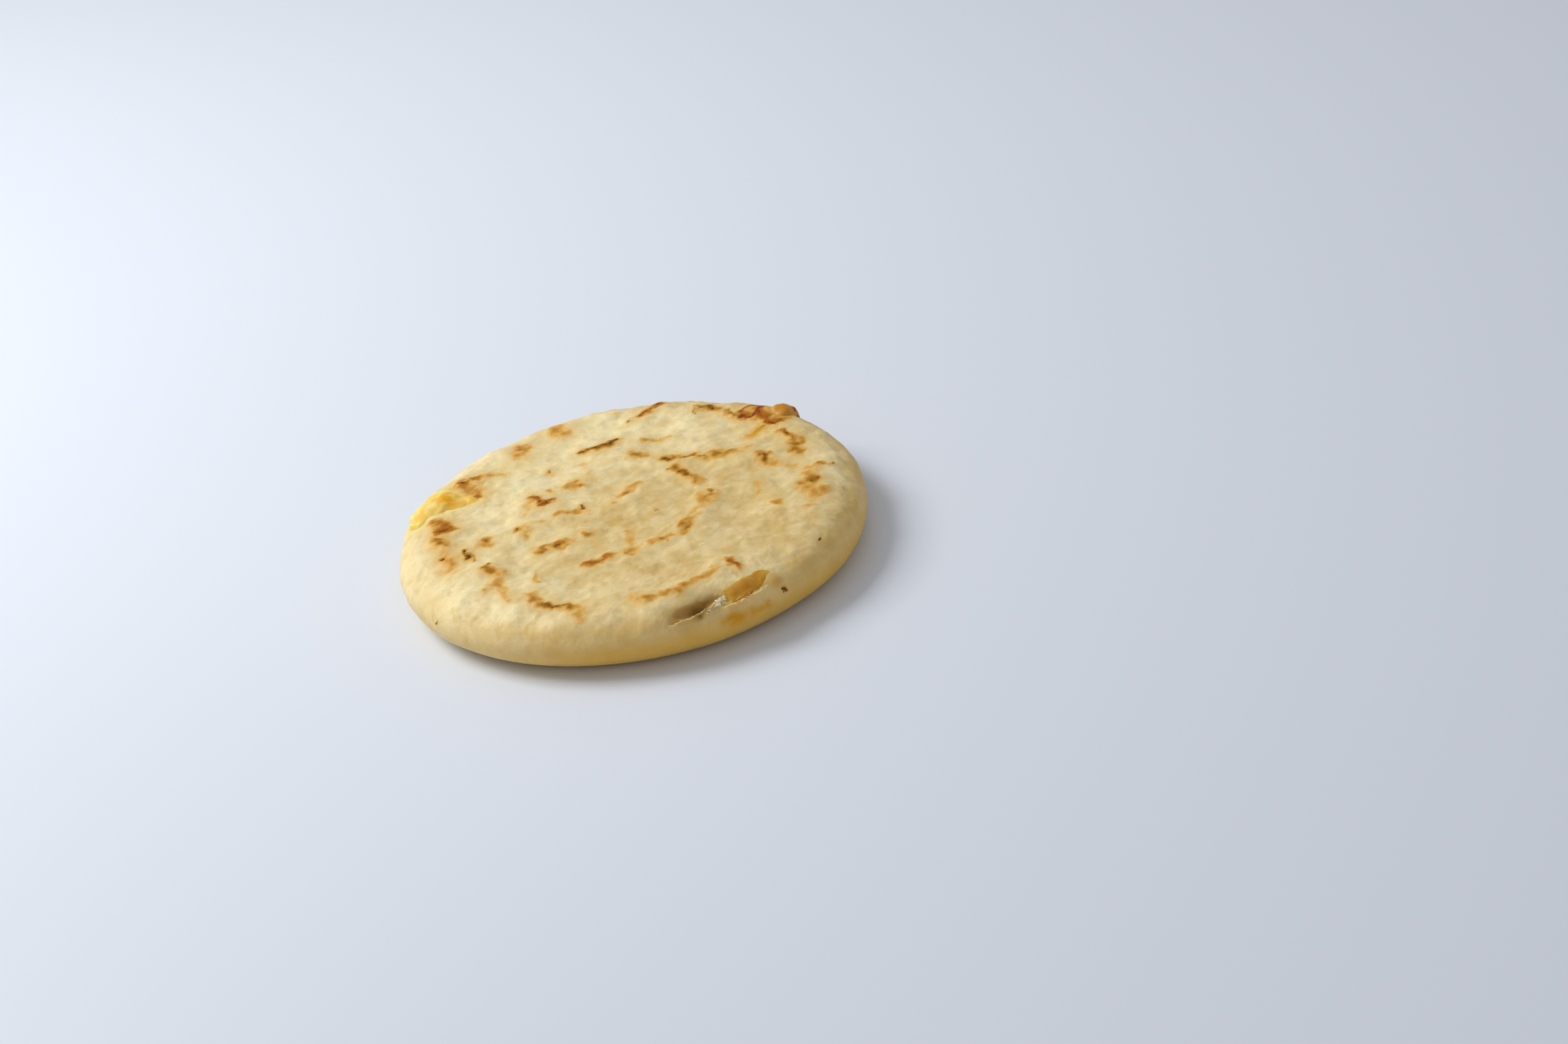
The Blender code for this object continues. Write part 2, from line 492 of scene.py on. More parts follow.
OLIVE, TAN, ORANGE, RUST, BURNT = Tone
FAR_LEFT_MARKS = (
    Mark(TAN, 1.2, 0.7, 0.9, ((-9.5, 32.2), (-6.0, 31.8), (-2.5, 31.6))),
    Mark(TAN, 1.9, 0.7, 1.0, ((-2.5, 31.9), (-0.3, 34.2))),
    Mark(ORANGE, 3.0, 0.78, 0.12, ((-24.5, 41.0), (-24.5, 37.0))),
    Mark(ORANGE, 3.0, 0.75, 0.12, ((-14.5, 48.0), (-13.5, 45.5))),
    Mark(OLIVE, 1.1, 0.6, 0.8, ((-18.3, 26.0),)),
    Mark(ORANGE, 1.4, 0.5, 0.0, ((-17.5, 24.0),)),
    Mark(TAN, 1.7, 0.35, 0.0, ((-9.5, 26.5), (-8.0, 20.0), (-7.0, 16.0))),
    Mark(OLIVE, 0.9, 0.25, 0.2, ((-13.0, 28.0),)),
    Mark(TAN, 1.0, 0.6, 0.8, ((-12.3, 16.3),)),
    Mark(TAN, 0.9, 0.6, 0.6, ((-11.0, 13.2),)),
    Mark(ORANGE, 2.2, 0.5, 0.0, ((-14.0, 14.5), (-11.0, 13.0))),
    Mark(TAN, 1.1, 0.5, 0.5, ((-19.2, 15.0), (-18.2, 13.2))),
    Mark(RUST, 1.4, 0.85, 0.75, ((-23.5, 13.0), (-22.0, 9.0), (-21.5, 7.0))),
    Mark(RUST, 1.3, 0.8, 0.7, ((-21.5, 7.0), (-18.5, 8.5))),
    Mark(TAN, 1.6, 0.3, 0.0, ((-25.5, 9.0), (-25.5, 4.0))),
    Mark(TAN, 0.8, 0.6, 0.75, ((-11.6, 3.5), (-11.2, 0.5))),
    Mark(ORANGE, 1.5, 0.6, 0.15, ((-17.5, 1.2), (-13.0, 0.2))),
    Mark(RUST, 2.0, 0.9, 0.5, ((-48.0, 9.0), (-46.5, 6.5), (-47.5, 4.0), (-44.5, 5.0))),
    Mark(RUST, 1.9, 0.8, 0.8, ((-47.5, 4.5),)),
    Mark(TAN, 1.4, 0.8, 0.6, ((-49.0, 0.0), (-48.3, -3.0), (-47.3, -5.0))),
    Mark(TAN, 1.3, 0.8, 0.95, ((-48.0, -9.8),)),
    Mark(RUST, 1.3, 0.8, 0.6, ((-46.0, -12.0),)),
    Mark(ORANGE, 3.2, 0.45, 0.0, ((-47.5, 10.0), (-48.0, 0.0), (-47.5, -8.0), (-46.5, -17.0))),
    Mark(TAN, 1.0, 0.5, 0.7, ((4.3, 43.8),)),
    Mark(TAN, 1.2, 0.4, 0.2, ((1.3, 50.0),)),
    Mark(RUST, 1.9, 0.9, 0.7, ((8.5, 45.5), (10.5, 48.0), (13.5, 50.0))),
    Mark(TAN, 1.4, 0.4, 0.0, ((16.0, 48.5),)),
)
BURST_MARKS = (
    Mark(ORANGE, 3.2, 0.66, 0.0, ((-41.0, 26.5), (-38.5, 24.0), (-37.5, 20.0))),
    Mark(RUST, 1.5, 0.9, 0.85, ((-40.7, 27.7),)),
    Mark(RUST, 1.3, 0.9, 0.6, ((-37.0, 28.7),)),
    Mark(RUST, 1.2, 0.9, 0.65, ((-37.5, 19.0),)),
    Mark(RUST, 1.2, 0.9, 0.4, ((-41.0, 27.5), (-38.0, 29.5), (-36.0, 29.5))),
    Mark(TAN, 2.2, 0.5, 0.0, ((-34.0, 29.5), (-31.0, 29.0))),
)
FAR_RIGHT_MARKS = (
    Mark(TAN, 1.3, 0.6, 0.3, ((7.5, 31.0), (9.0, 30.5))),
    Mark(TAN, 1.1, 0.45, 0.15, ((11.5, 30.7), (14.0, 30.6))),
    Mark(OLIVE, 1.0, 0.3, 0.1, ((17.0, 28.5), (18.5, 27.0))),
    Mark(OLIVE, 1.5, 0.6, 0.35, ((3.5, 24.8), (5.5, 24.0))),
    Mark(TAN, 1.3, 0.4, 0.0, ((5.5, 24.0), (8.5, 22.5))),
    Mark(TAN, 1.7, 0.7, 0.8, ((11.3, 19.5), (12.5, 18.7))),
    Mark(TAN, 2.0, 0.4, 0.0, ((12.5, 18.7), (13.5, 16.5))),
    Mark(TAN, 1.1, 0.75, 0.7, ((15.5, 18.3), (18.5, 17.3), (21.5, 16.0))),
    Mark(OLIVE, 1.0, 0.6, 0.9, ((18.7, 17.3),)),
    Mark(OLIVE, 1.7, 0.7, 0.95, ((25.0, 15.3),)),
    Mark(OLIVE, 3.0, 0.65, 0.0, ((22.5, 14.5), (27.0, 15.0))),
    Mark(OLIVE, 1.0, 0.5, 0.8, ((27.8, 15.7),)),
    Mark(TAN, 2.0, 0.35, 0.0, ((31.0, 13.0),)),
    Mark(OLIVE, 0.9, 0.5, 0.7, ((12.0, 12.8),)),
    Mark(ORANGE, 1.6, 0.8, 0.65, ((13.5, 13.0), (15.2, 9.8), (16.5, 7.0))),
    Mark(TAN, 1.2, 0.6, 0.85, ((15.2, 9.8),)),
    Mark(TAN, 1.4, 0.6, 0.85, ((17.8, 4.4),)),
    Mark(ORANGE, 2.4, 0.7, 0.0, ((17.8, 5.5), (18.8, 2.5))),
    Mark(TAN, 1.6, 0.4, 0.1, ((34.0, 17.8), (33.0, 16.0))),
    Mark(ORANGE, 2.2, 0.95, 0.75, ((36.0, 9.5), (36.3, 6.5))),
    Mark(ORANGE, 1.6, 0.35, 0.0, ((38.0, 5.0), (40.5, 3.0), (43.0, 1.0))),
    Mark(RUST, 1.6, 0.85, 0.8, ((42.3, 20.3), (43.5, 17.8))),
    Mark(ORANGE, 2.3, 1.0, 0.45, ((45.0, 14.5), (44.8, 8.5))),
    Mark(TAN, 1.7, 0.65, 0.45, ((3.0, 7.8),)),
    Mark(ORANGE, 1.5, 0.65, 0.25, ((1.5, 7.2), (-0.5, 4.0))),
    Mark(TAN, 1.0, 0.5, 0.45, ((-4.0, 0.7),)),
    Mark(TAN, 1.5, 0.6, 0.50, ((22.5, 44.5), (25.5, 42.3), (29.0, 40.0), (31.0, 36.0), (32.5, 33.5))),
    Mark(TAN, 1.7, 0.8, 0.9, ((24.6, 42.8), (26.6, 41.6))),
    Mark(TAN, 0.7, 0.4, 0.6, ((21.6, 43.0), (21.5, 40.0))),
)
BURNT_MARKS = (
    Mark(BURNT, 1.2, 0.8, 0.75, ((33.5, 33.0), (34.0, 35.6), (36.0, 37.3), (38.0, 35.5))),
    Mark(BURNT, 1.9, 0.8, 0.90, ((38.2, 34.5), (37.8, 32.3), (34.5, 32.0))),
    Mark(BURNT, 1.4, 0.8, 0.75, ((38.4, 30.5), (39.5, 27.5), (41.0, 25.3), (43.0, 26.0))),
    Mark(ORANGE, 2.8, 0.45, 0.0, ((35.5, 34.5), (39.0, 30.0), (41.0, 26.0))),
    Mark(TAN, 2.4, 0.4, 0.0, ((40.0, 36.0), (42.0, 31.0), (43.5, 28.0))),
)
NEAR_LEFT_MARKS = (
    Mark(OLIVE, 1.2, 0.6, 0.95, ((-42.4, -8.6), (-41.7, -11.5))),
    Mark(TAN, 1.0, 0.5, 0.5, ((-40.3, -11.0), (-40.6, -14.5))),
    Mark(TAN, 1.0, 0.6, 0.9, ((-37.0, -5.2),)),
    Mark(ORANGE, 1.8, 0.6, 0.0, ((-37.3, -5.0), (-36.0, -8.0))),
    Mark(OLIVE, 0.9, 0.5, 0.85, ((-28.7, -2.6),)),
    Mark(OLIVE, 1.2, 0.5, 0.5, ((-25.7, -2.7),)),
    Mark(OLIVE, 2.0, 0.5, 0.0, ((-27.0, -2.5), (-26.5, -7.0))),
    Mark(OLIVE, 1.2, 0.35, 0.15, ((-22.5, -1.0),)),
    Mark(OLIVE, 1.2, 0.5, 0.5, ((-9.9, -2.1),)),
    Mark(TAN, 0.8, 0.3, 0.5, ((-5.3, -11.0),)),
    Mark(ORANGE, 1.5, 0.75, 0.4, ((-24.0, -16.0), (-22.0, -13.8), (-19.0, -13.3), (-16.0, -14.5))),
    Mark(TAN, 1.5, 0.7, 0.95, ((-19.3, -15.2),)),
    Mark(TAN, 1.2, 0.6, 0.75, ((-22.7, -16.2),)),
    Mark(TAN, 1.0, 0.6, 0.6, ((-17.0, -16.3),)),
    Mark(TAN, 1.4, 0.6, 0.4, ((-12.0, -13.0), (-10.0, -12.8))),
    Mark(TAN, 1.4, 0.35, 0.0, ((-11.0, -14.0), (-11.0, -17.0))),
    Mark(TAN, 1.6, 0.3, 0.0, ((-26.0, -13.5),)),
    Mark(OLIVE, 0.8, 0.5, 0.8, ((-38.3, -20.2), (-36.2, -18.8))),
    Mark(RUST, 1.6, 0.85, 0.35, ((-37.0, -21.5), (-35.5, -22.5), (-34.5, -24.5))),
    Mark(ORANGE, 1.5, 0.5, 0.0, ((-36.0, -27.5), (-34.0, -31.0))),
    Mark(ORANGE, 1.5, 0.5, 0.1, ((-38.5, -30.0),)),
    Mark(ORANGE, 1.2, 0.55, 0.1, ((-34.5, -33.5), (-33.0, -38.0))),
    Mark(ORANGE, 0.9, 0.6, 0.15, ((-25.8, -27.0), (-25.8, -31.0))),
    Mark(ORANGE, 1.2, 0.4, 0.0, ((-28.5, -36.5), (-26.0, -37.0))),
    Mark(ORANGE, 1.5, 0.7, 0.15, ((-27.5, -39.0), (-26.0, -42.0))),
    Mark(TAN, 1.1, 0.8, 0.65, ((-25.5, -42.5), (-22.5, -44.7), (-19.5, -45.1), (-18.5, -47.0))),
    Mark(TAN, 2.4, 0.45, 0.0, ((-17.5, -46.0), (-17.0, -51.0))),
    Mark(RUST, 1.8, 0.9, 0.6, ((-12.8, -27.6), (-10.0, -27.9), (-7.5, -25.6))),
    Mark(TAN, 1.2, 0.6, 0.6, ((-2.8, -26.6),)),
    Mark(TAN, 1.3, 0.6, 0.65, ((-1.3, -24.6),)),
    Mark(ORANGE, 2.1, 0.45, 0.0, ((-1.0, -15.0), (-1.5, -22.0), (-2.0, -26.0))),
    Mark(OLIVE, 0.9, 0.25, 0.2, ((0.0, -45.0),)),
)
NEAR_RIGHT_MARKS = (
    Mark(OLIVE, 0.9, 0.4, 0.35, ((6.0, -6.0), (7.0, -7.5))),
    Mark(TAN, 1.0, 0.6, 0.9, ((20.2, -3.0), (21.5, -4.3))),
    Mark(ORANGE, 2.0, 1.0, 0.1, ((21.0, -6.2),)),
    Mark(TAN, 1.6, 0.4, 0.0, ((18.0, -4.5), (16.8, -6.0))),
    Mark(ORANGE, 2.1, 0.4, 0.0, ((19.0, -8.0), (16.5, -11.0), (14.0, -16.0), (13.0, -19.0))),
    Mark(TAN, 1.4, 0.7, 0.8, ((13.0, -19.3),)),
    Mark(TAN, 1.2, 0.6, 0.35, ((13.0, -16.8), (15.3, -16.0))),
    Mark(TAN, 1.2, 0.6, 0.65, ((5.5, -22.0),)),
    Mark(OLIVE, 0.8, 0.5, 0.55, ((7.5, -24.3),)),
    Mark(TAN, 1.2, 0.5, 0.2, ((4.0, -24.5),)),
    Mark(TAN, 1.5, 0.5, 0.0, ((3.5, -22.5), (10.5, -22.0), (12.5, -20.0))),
    Mark(TAN, 1.2, 0.25, 0.1, ((1.0, -14.0),)),
    Mark(TAN, 2.2, 0.4, 0.0, ((32.5, -4.5), (32.5, -9.5))),
    Mark(TAN, 1.7, 0.6, 0.1, ((36.0, -15.5), (36.6, -18.0))),
    Mark(ORANGE, 2.1, 0.6, 0.0, ((46.0, -2.0), (46.5, -6.0))),
    Mark(TAN, 0.8, 0.5, 0.6, ((49.0, -0.8), (51.8, -0.9))),
    Mark(TAN, 1.8, 0.95, 0.7, ((46.6, -9.0),)),
    Mark(TAN, 1.2, 0.7, 0.35, ((46.0, -11.2),)),
    Mark(ORANGE, 2.2, 0.7, 0.05, ((43.0, -10.0), (44.0, -13.0), (47.0, -15.0))),
    Mark(TAN, 1.0, 0.5, 0.35, ((48.5, -13.0),)),
    Mark(TAN, 1.7, 0.36, 0.0, ((44.5, -21.0), (42.0, -23.0))),
    Mark(TAN, 1.6, 0.25, 0.0, ((45.0, -18.0),)),
)
RIDGE_MARKS = (
    Mark(ORANGE, 1.7, 0.4, 0.0, ((-3.5, -47.0), (-1.5, -51.0))),
    Mark(ORANGE, 1.5, 0.55, 0.08, ((0.0, -50.0), (3.0, -49.5), (8.0, -48.7))),
    Mark(ORANGE, 1.6, 0.46, 0.08, ((8.0, -48.7), (12.0, -47.3), (15.0, -46.0))),
    Mark(TAN, 2.2, 0.42, 0.0, ((15.0, -46.0), (17.3, -44.5), (16.0, -42.0))),
    Mark(ORANGE, 1.2, 0.55, 0.0, ((19.5, -38.5), (21.8, -39.5))),
    Mark(RUST, 1.6, 0.9, 0.5, ((21.4, -41.0), (22.6, -44.3))),
)
FLECKS = (
    Mark(OLIVE, 0.8, 0.3, 1.0, ((-53.9, -31.5), (-52.8, -32.1))),
    Mark(OLIVE, 0.6, 0.2, 0.9, ((-45.5, -35.0),)),
    Mark(OLIVE, 0.6, 0.2, 0.95, ((43.0, -35.7), (43.6, -34.9))),
    Mark(OLIVE, 0.7, 0.2, 0.45, ((-39.0, 6.8),)),
    Mark(OLIVE, 0.7, 0.2, 0.45, ((28.3, -24.0), (28.7, -24.8))),
    Mark(OLIVE, 0.7, 0.2, 0.3, ((11.0, -29.0),)),
    Mark(OLIVE, 1.0, 0.3, 1.0, ((33.0, -51.0), (34.2, -51.4))),
    Mark(OLIVE, 0.6, 0.3, 0.9, ((33.5, -52.3), (33.7, -50.6))),
    Mark(OLIVE, 0.7, 0.3, 0.7, ((29.8, -54.7),)),
    Mark(OLIVE, 1.3, 0.3, 0.2, ((-28.5, -47.5),)),
    Mark(OLIVE, 1.2, 0.3, 0.2, ((-23.5, -51.5),)),
    Mark(OLIVE, 1.1, 0.3, 0.2, ((-27.0, -54.5),)),
    Mark(OLIVE, 1.2, 0.3, 0.2, ((-22.0, -56.0),)),
)
FAINT_ARCS = (
    Mark(TAN, 2.0, 0.22, 0.0, ((-41.0, -11.0), (-36.0, -4.5), (-28.0, -2.5), (-21.0, -1.0), (-12.0, 1.0))),
    Mark(TAN, 2.0, 0.22, 0.0, ((-12.0, 1.0), (-9.5, -2.0), (-4.0, 1.0), (0.0, 6.0), (3.5, 9.0))),
    Mark(TAN, 1.9, 0.20, 0.0, ((-26.0, 6.0), (-23.0, 12.0), (-15.0, 14.0), (-9.0, 18.0))),
    Mark(
        TAN, 1.9, 0.22, 0.0,
        ((3.0, 25.0), (9.0, 21.5), (15.0, 18.5), (25.0, 15.5), (33.0, 16.0), (37.0, 10.0)),
    ),
    Mark(TAN, 1.8, 0.20, 0.0, ((-5.0, 32.0), (2.0, 32.5), (9.0, 30.5), (14.0, 30.5))),
    Mark(
        TAN, 2.2, 0.22, 0.0,
        ((21.0, -4.0), (18.0, -10.0), (14.0, -18.0), (5.0, -22.5), (-2.0, -26.0), (-11.0, -28.0)),
    ),
    Mark(
        TAN, 2.0, 0.20, 0.0,
        ((-38.0, -20.0), (-35.0, -24.0), (-35.0, -32.0), (-27.5, -38.0), (-22.0, -44.5)),
    ),
    Mark(TAN, 2.0, 0.20, 0.0, ((-18.0, -47.0), (-8.0, -50.0), (1.0, -50.5), (8.0, -48.5))),
    Mark(TAN, 2.2, 0.20, 0.0, ((49.0, -1.0), (46.5, -8.0), (46.0, -15.0), (42.0, -23.0))),
    Mark(TAN, 2.0, 0.20, 0.0, ((42.5, 20.0), (45.0, 12.0), (44.0, 2.0), (40.0, 3.0))),
)
# A painted shadow line where the slit's cheese meets the lower lip, drawn as a dark rust mark
SLIT_SHADOW_LINE = (
    Mark(RUST, 0.6, 0.8, 0.35, ((20.0, -54.5), (23.6, -52.9), (27.4, -50.2))),
)
# Warmer, darker places of the dough: partly its own warmer tone, partly painted shade in the middle and
# towards the right, away from the key light
WARM_AND_SHADED_PLACES = (
    Mark(TAN, 20.0, 0.38, 0.0, ((-16.0, -24.0), (-8.0, -48.0), (4.0, -50.0))),
    Mark(TAN, 8.0, 0.55, 0.0, ((8.0, 55.0), (28.0, 49.0), (44.0, 36.0))),
    Mark(TAN, 9.0, 0.30, 0.0, ((50.0, 28.0), (56.0, 12.0), (58.0, -8.0), (54.0, -24.0), (44.0, -40.0))),
    Mark(TAN, 23.0, 0.62, 0.0, ((-2.0, -8.0), (8.0, 3.0))),
    Mark(TAN, 16.0, 0.50, 0.0, ((30.0, 0.0), (36.0, -20.0))),
    Mark(TAN, 14.0, 0.42, 0.0, ((6.0, -36.0), (30.0, -32.0))),
    Mark(TAN, 9.0, 0.35, 0.0, ((30.0, 36.0), (44.0, 18.0))),
)
GREASE_STAINS = (
    Mark(ORANGE, 2.0, 1.0, 0.0, ((19.0, -59.5), (22.0, -59.0))),
    Mark(ORANGE, 1.5, 0.8, 0.0, ((25.5, -57.5), (29.0, -55.5))),
    Mark(ORANGE, 1.8, 0.5, 0.0, ((29.0, -48.0), (31.5, -49.0))),
    Mark(ORANGE, 1.4, 0.4, 0.0, ((17.5, -53.0), (21.0, -51.5), (25.0, -49.8))),
    Mark(ORANGE, 1.8, 0.35, 0.0, ((-42.0, 21.0), (-42.5, 25.0))),
    Mark(ORANGE, 1.9, 0.9, 0.0, ((34.5, 22.0), (37.0, 25.0), (40.5, 26.5))),
    Mark(ORANGE, 2.6, 0.6, 0.0, ((43.0, 29.0), (45.5, 31.0), (43.5, 35.0))),
)
# Painted shade, with some grease, on the slope down into the crevice
SHADES = (
    Mark(OLIVE, 2.6, 0.42, 0.0, ((6.5, -56.6), (10.5, -55.4))),
    Mark(OLIVE, 2.2, 0.62, 0.0, ((11.0, -55.4), (15.0, -52.6))),
    Mark(OLIVE, 1.0, 0.70, 0.0, ((10.5, -56.8), (13.0, -55.6), (15.6, -53.4))),
)
# The browning marks, and with them the slit's painted shadow line
BROWNED_AND_SLIT_SHADOW = (
    *FAINT_ARCS, *FAR_LEFT_MARKS, *BURST_MARKS, *FAR_RIGHT_MARKS, *BURNT_MARKS,
    *NEAR_LEFT_MARKS, *NEAR_RIGHT_MARKS, *RIDGE_MARKS, *SLIT_SHADOW_LINE, *FLECKS,
)
# Grease stains, the warm places with their painted shade, and the crevice's painted shade
STAINS_AND_SHADES = {"grease": GREASE_STAINS, "warmth_and_shade": WARM_AND_SHADED_PLACES, "shade": SHADES}
LEAST_SQUARE = 1e-9


def distance_to(places: np.ndarray, path: Sequence[Point]) -> np.ndarray:
    """Measure how far places in plan lie from a path.

    Args:
        places: one row of two coordinates for each place.
        path: the path's points, or one point alone.

    Returns:
        The distance of each place.
    """
    nearest = np.full(len(places), np.inf)
    for start, end in zip(path, path[1:] or path):
        first = np.array(start)
        stretch = np.array(end) - first
        square = max(float(stretch @ stretch), LEAST_SQUARE)
        share = np.clip((places - first) @ stretch / square, 0.0, 1.0)
        away = places - first - share[:, None] * stretch
        nearest = np.minimum(nearest, np.hypot(away[:, 0], away[:, 1]))
    return nearest


@dataclass(frozen=True)
class Browning:
    """Spreads the marks over the dough: browning, charring, tone, grease, warmth with painted shade,
    painted shade in the crevice and the ridges below.

    The wobble, the fray and their lengths are in plan, in millimetres. The shares of the halo, the
    core, the ridge and the glow are of a mark's width.
    """

    wobble: float = 1.1
    wobble_length: float = 2.6
    fray: float = 0.24
    fray_length: float = 0.9
    pattern_starts: tuple[tuple[float, float], ...] = ((3.1, 7.7), (11.9, 5.3))
    finer_ratio: float = 2.3
    finer_share: float = 0.5
    halo_share: float = 1.04
    core_share: float = 0.55
    glow_share: float = 2.4
    ridge_share: float = 2.0
    ridge_height: float = 0.00075
    ridge_fullness: float = 0.8
    ridge_from_toast: float = 0.3
    least_ridge: float = 0.45
    least_weight: float = 1e-6

    def shaken(self, plan: np.ndarray, reach: float, length: float) -> np.ndarray:
        """Shift plan places a little, so that edges wander.

        Args:
            plan: the unrolled places in millimetres.
            reach: how far they shift.
            length: the waves' rough length.

        Returns:
            The shifted places.
        """
        flat = np.column_stack((plan, np.zeros(len(plan))))
        finer = length / self.finer_ratio
        shifts = [
            wander(flat, length, start) + self.finer_share * wander(flat, finer, finer_start)
            for start, finer_start in self.pattern_starts
        ]
        return plan + reach * np.column_stack(shifts)

    def ridges(self, plan: np.ndarray) -> np.ndarray:
        """Height of the ridges that the marks sit on.

        Args:
            plan: the unrolled places in millimetres.

        Returns:
            The height at each place.
        """
        flat = np.ones(len(plan))
        for mark in BROWNED_AND_SLIT_SHADOW:
            if mark.toast > self.ridge_from_toast or mark in FAINT_ARCS:
                away = distance_to(plan, mark.path)
                lift = self.ridge_fullness * max(mark.toast, self.least_ridge)
                flat *= 1 - lift * bump_curve(away, mark.width * self.ridge_share)
        return self.ridge_height * (1 - flat)

    def paint(self, piece: bpy.types.Object, plan: np.ndarray, upper: np.ndarray) -> None:
        """Store the marks on a piece as attributes.

        Args:
            piece: the dough.
            plan: its vertices' unrolled places in millimetres.
            upper: how far each vertex belongs to the shown side, from 0 to 1.
        """
        places = self.shaken(plan, self.wobble, self.wobble_length)
        places = self.shaken(places, self.fray, self.fray_length)
        bare = np.ones(len(plan))
        uncharred = np.ones(len(plan))
        unlit = np.ones(len(plan))
        tones = np.zeros(len(plan))
        weights = np.full(len(plan), self.least_weight)
        for mark in BROWNED_AND_SLIT_SHADOW:
            away = distance_to(places, mark.path)
            brown = mark.toast * bump_curve(away, mark.width * self.halo_share)
            core = mark.char * bump_curve(away, mark.width * self.core_share)
            bare *= 1 - brown
            uncharred *= 1 - core
            unlit *= 1 - mark.toast * bump_curve(away, mark.width * self.glow_share)
            tones += mark.tone.value * (brown + core)
            weights += brown + core
        # Grease stains, warmth with painted shade, and the crevice's painted shade
        for name, washes in STAINS_AND_SHADES.items():
            clear = np.ones(len(plan))
            for wash in washes:
                clear *= 1 - wash.toast * bump_curve(distance_to(places, wash.path), wash.width)
            keep_values(piece, name, upper * (1 - clear))
        keep_values(piece, "toast", upper * (1 - bare))
        keep_values(piece, "char", upper * (1 - uncharred))
        keep_values(piece, "glow", upper * (1 - unlit))
        keep_values(piece, "tone", tones / weights)


# The filling and the tears


@dataclass(frozen=True)
class Lobe:
    """A tongue of filling that runs out to a tear, as the solid has it.

    Its place is an angle and a radius round the cake and a height, and its sizes are semi-axes.
    The tilt leans it out and the twist turns it, both in degrees. The opening is how much further
    out its tear is cut, the fullness how full its shoulders are, and the lumpiness how lumpy it is.
    """

    name: str
    angle: float
    radius: float
    height: float
    along: float
    across: float
    outwards: float
    tilt: float
    twist: float
    opening: float
    fullness: float
    lumpiness: float

    def place(self) -> Matrix:
        """Work out how an upright shape is turned to the rim and leaned out.

        Returns:
            The matrix that does it.
        """
        turn = radians(self.angle)
        centre = Vector((self.radius * cos(turn), self.radius * sin(turn), self.height))
        facing = Matrix.Rotation(turn + pi / 2, 4, "Z")
        lean = Matrix.Rotation(radians(self.tilt), 4, "X")
        twist = Matrix.Rotation(radians(self.twist), 4, "Z")
        return Matrix.Translation(centre) @ facing @ lean @ twist


FAR_BUBBLE = Lobe("far_bubble", 36.0, 0.0530, 0.0098, 0.0038, 0.0042, 0.0062, 20, 0, 0.0, 2.4, 0.6)
FAR_CRACK = Lobe("far_crack", 33.2, 0.0447, 0.0108, 0.0017, 0.0044, 0.0042, 0, 8, 0.0016, 1.6, 0.0)
LOBES = (
    Lobe("left_burst", 157.2, 0.0518, 0.0098, 0.0084, 0.0062, 0.0058, 18, -20, 0.0, 2.4, 1.0),
    Lobe("left_burst_outer", 163.2, 0.0524, 0.0096, 0.0044, 0.0040, 0.0056, 44, 0, 0.0, 2.4, 1.0),
    Lobe("left_burst_far", 152.0, 0.0512, 0.0097, 0.0046, 0.0046, 0.0053, 22, 0, 0.0, 2.2, 0.0),
    Lobe("left_burst_inner", 156.2, 0.0468, 0.0104, 0.0048, 0.0042, 0.0047, 0, -30, 0.0, 2.4, 0.5),
    Lobe("left_burst_tail", 155.0, 0.0434, 0.0111, 0.0026, 0.0052, 0.0041, 0, -6, 0.0, 1.8, 0.0),
    FAR_BUBBLE,
    FAR_CRACK,
    Lobe("near_slit", -65.2, 0.0528, 0.0098, 0.0076, 0.0021, 0.0057, 48, 4, 0.0020, 2.0, 0.0),
)
CREVICE = Lobe("crevice", -79.6, 0.0562, 0.0130, 0.0058, 0.0016, 0.0030, 30, 6, 0.0, 1.8, 0.0)


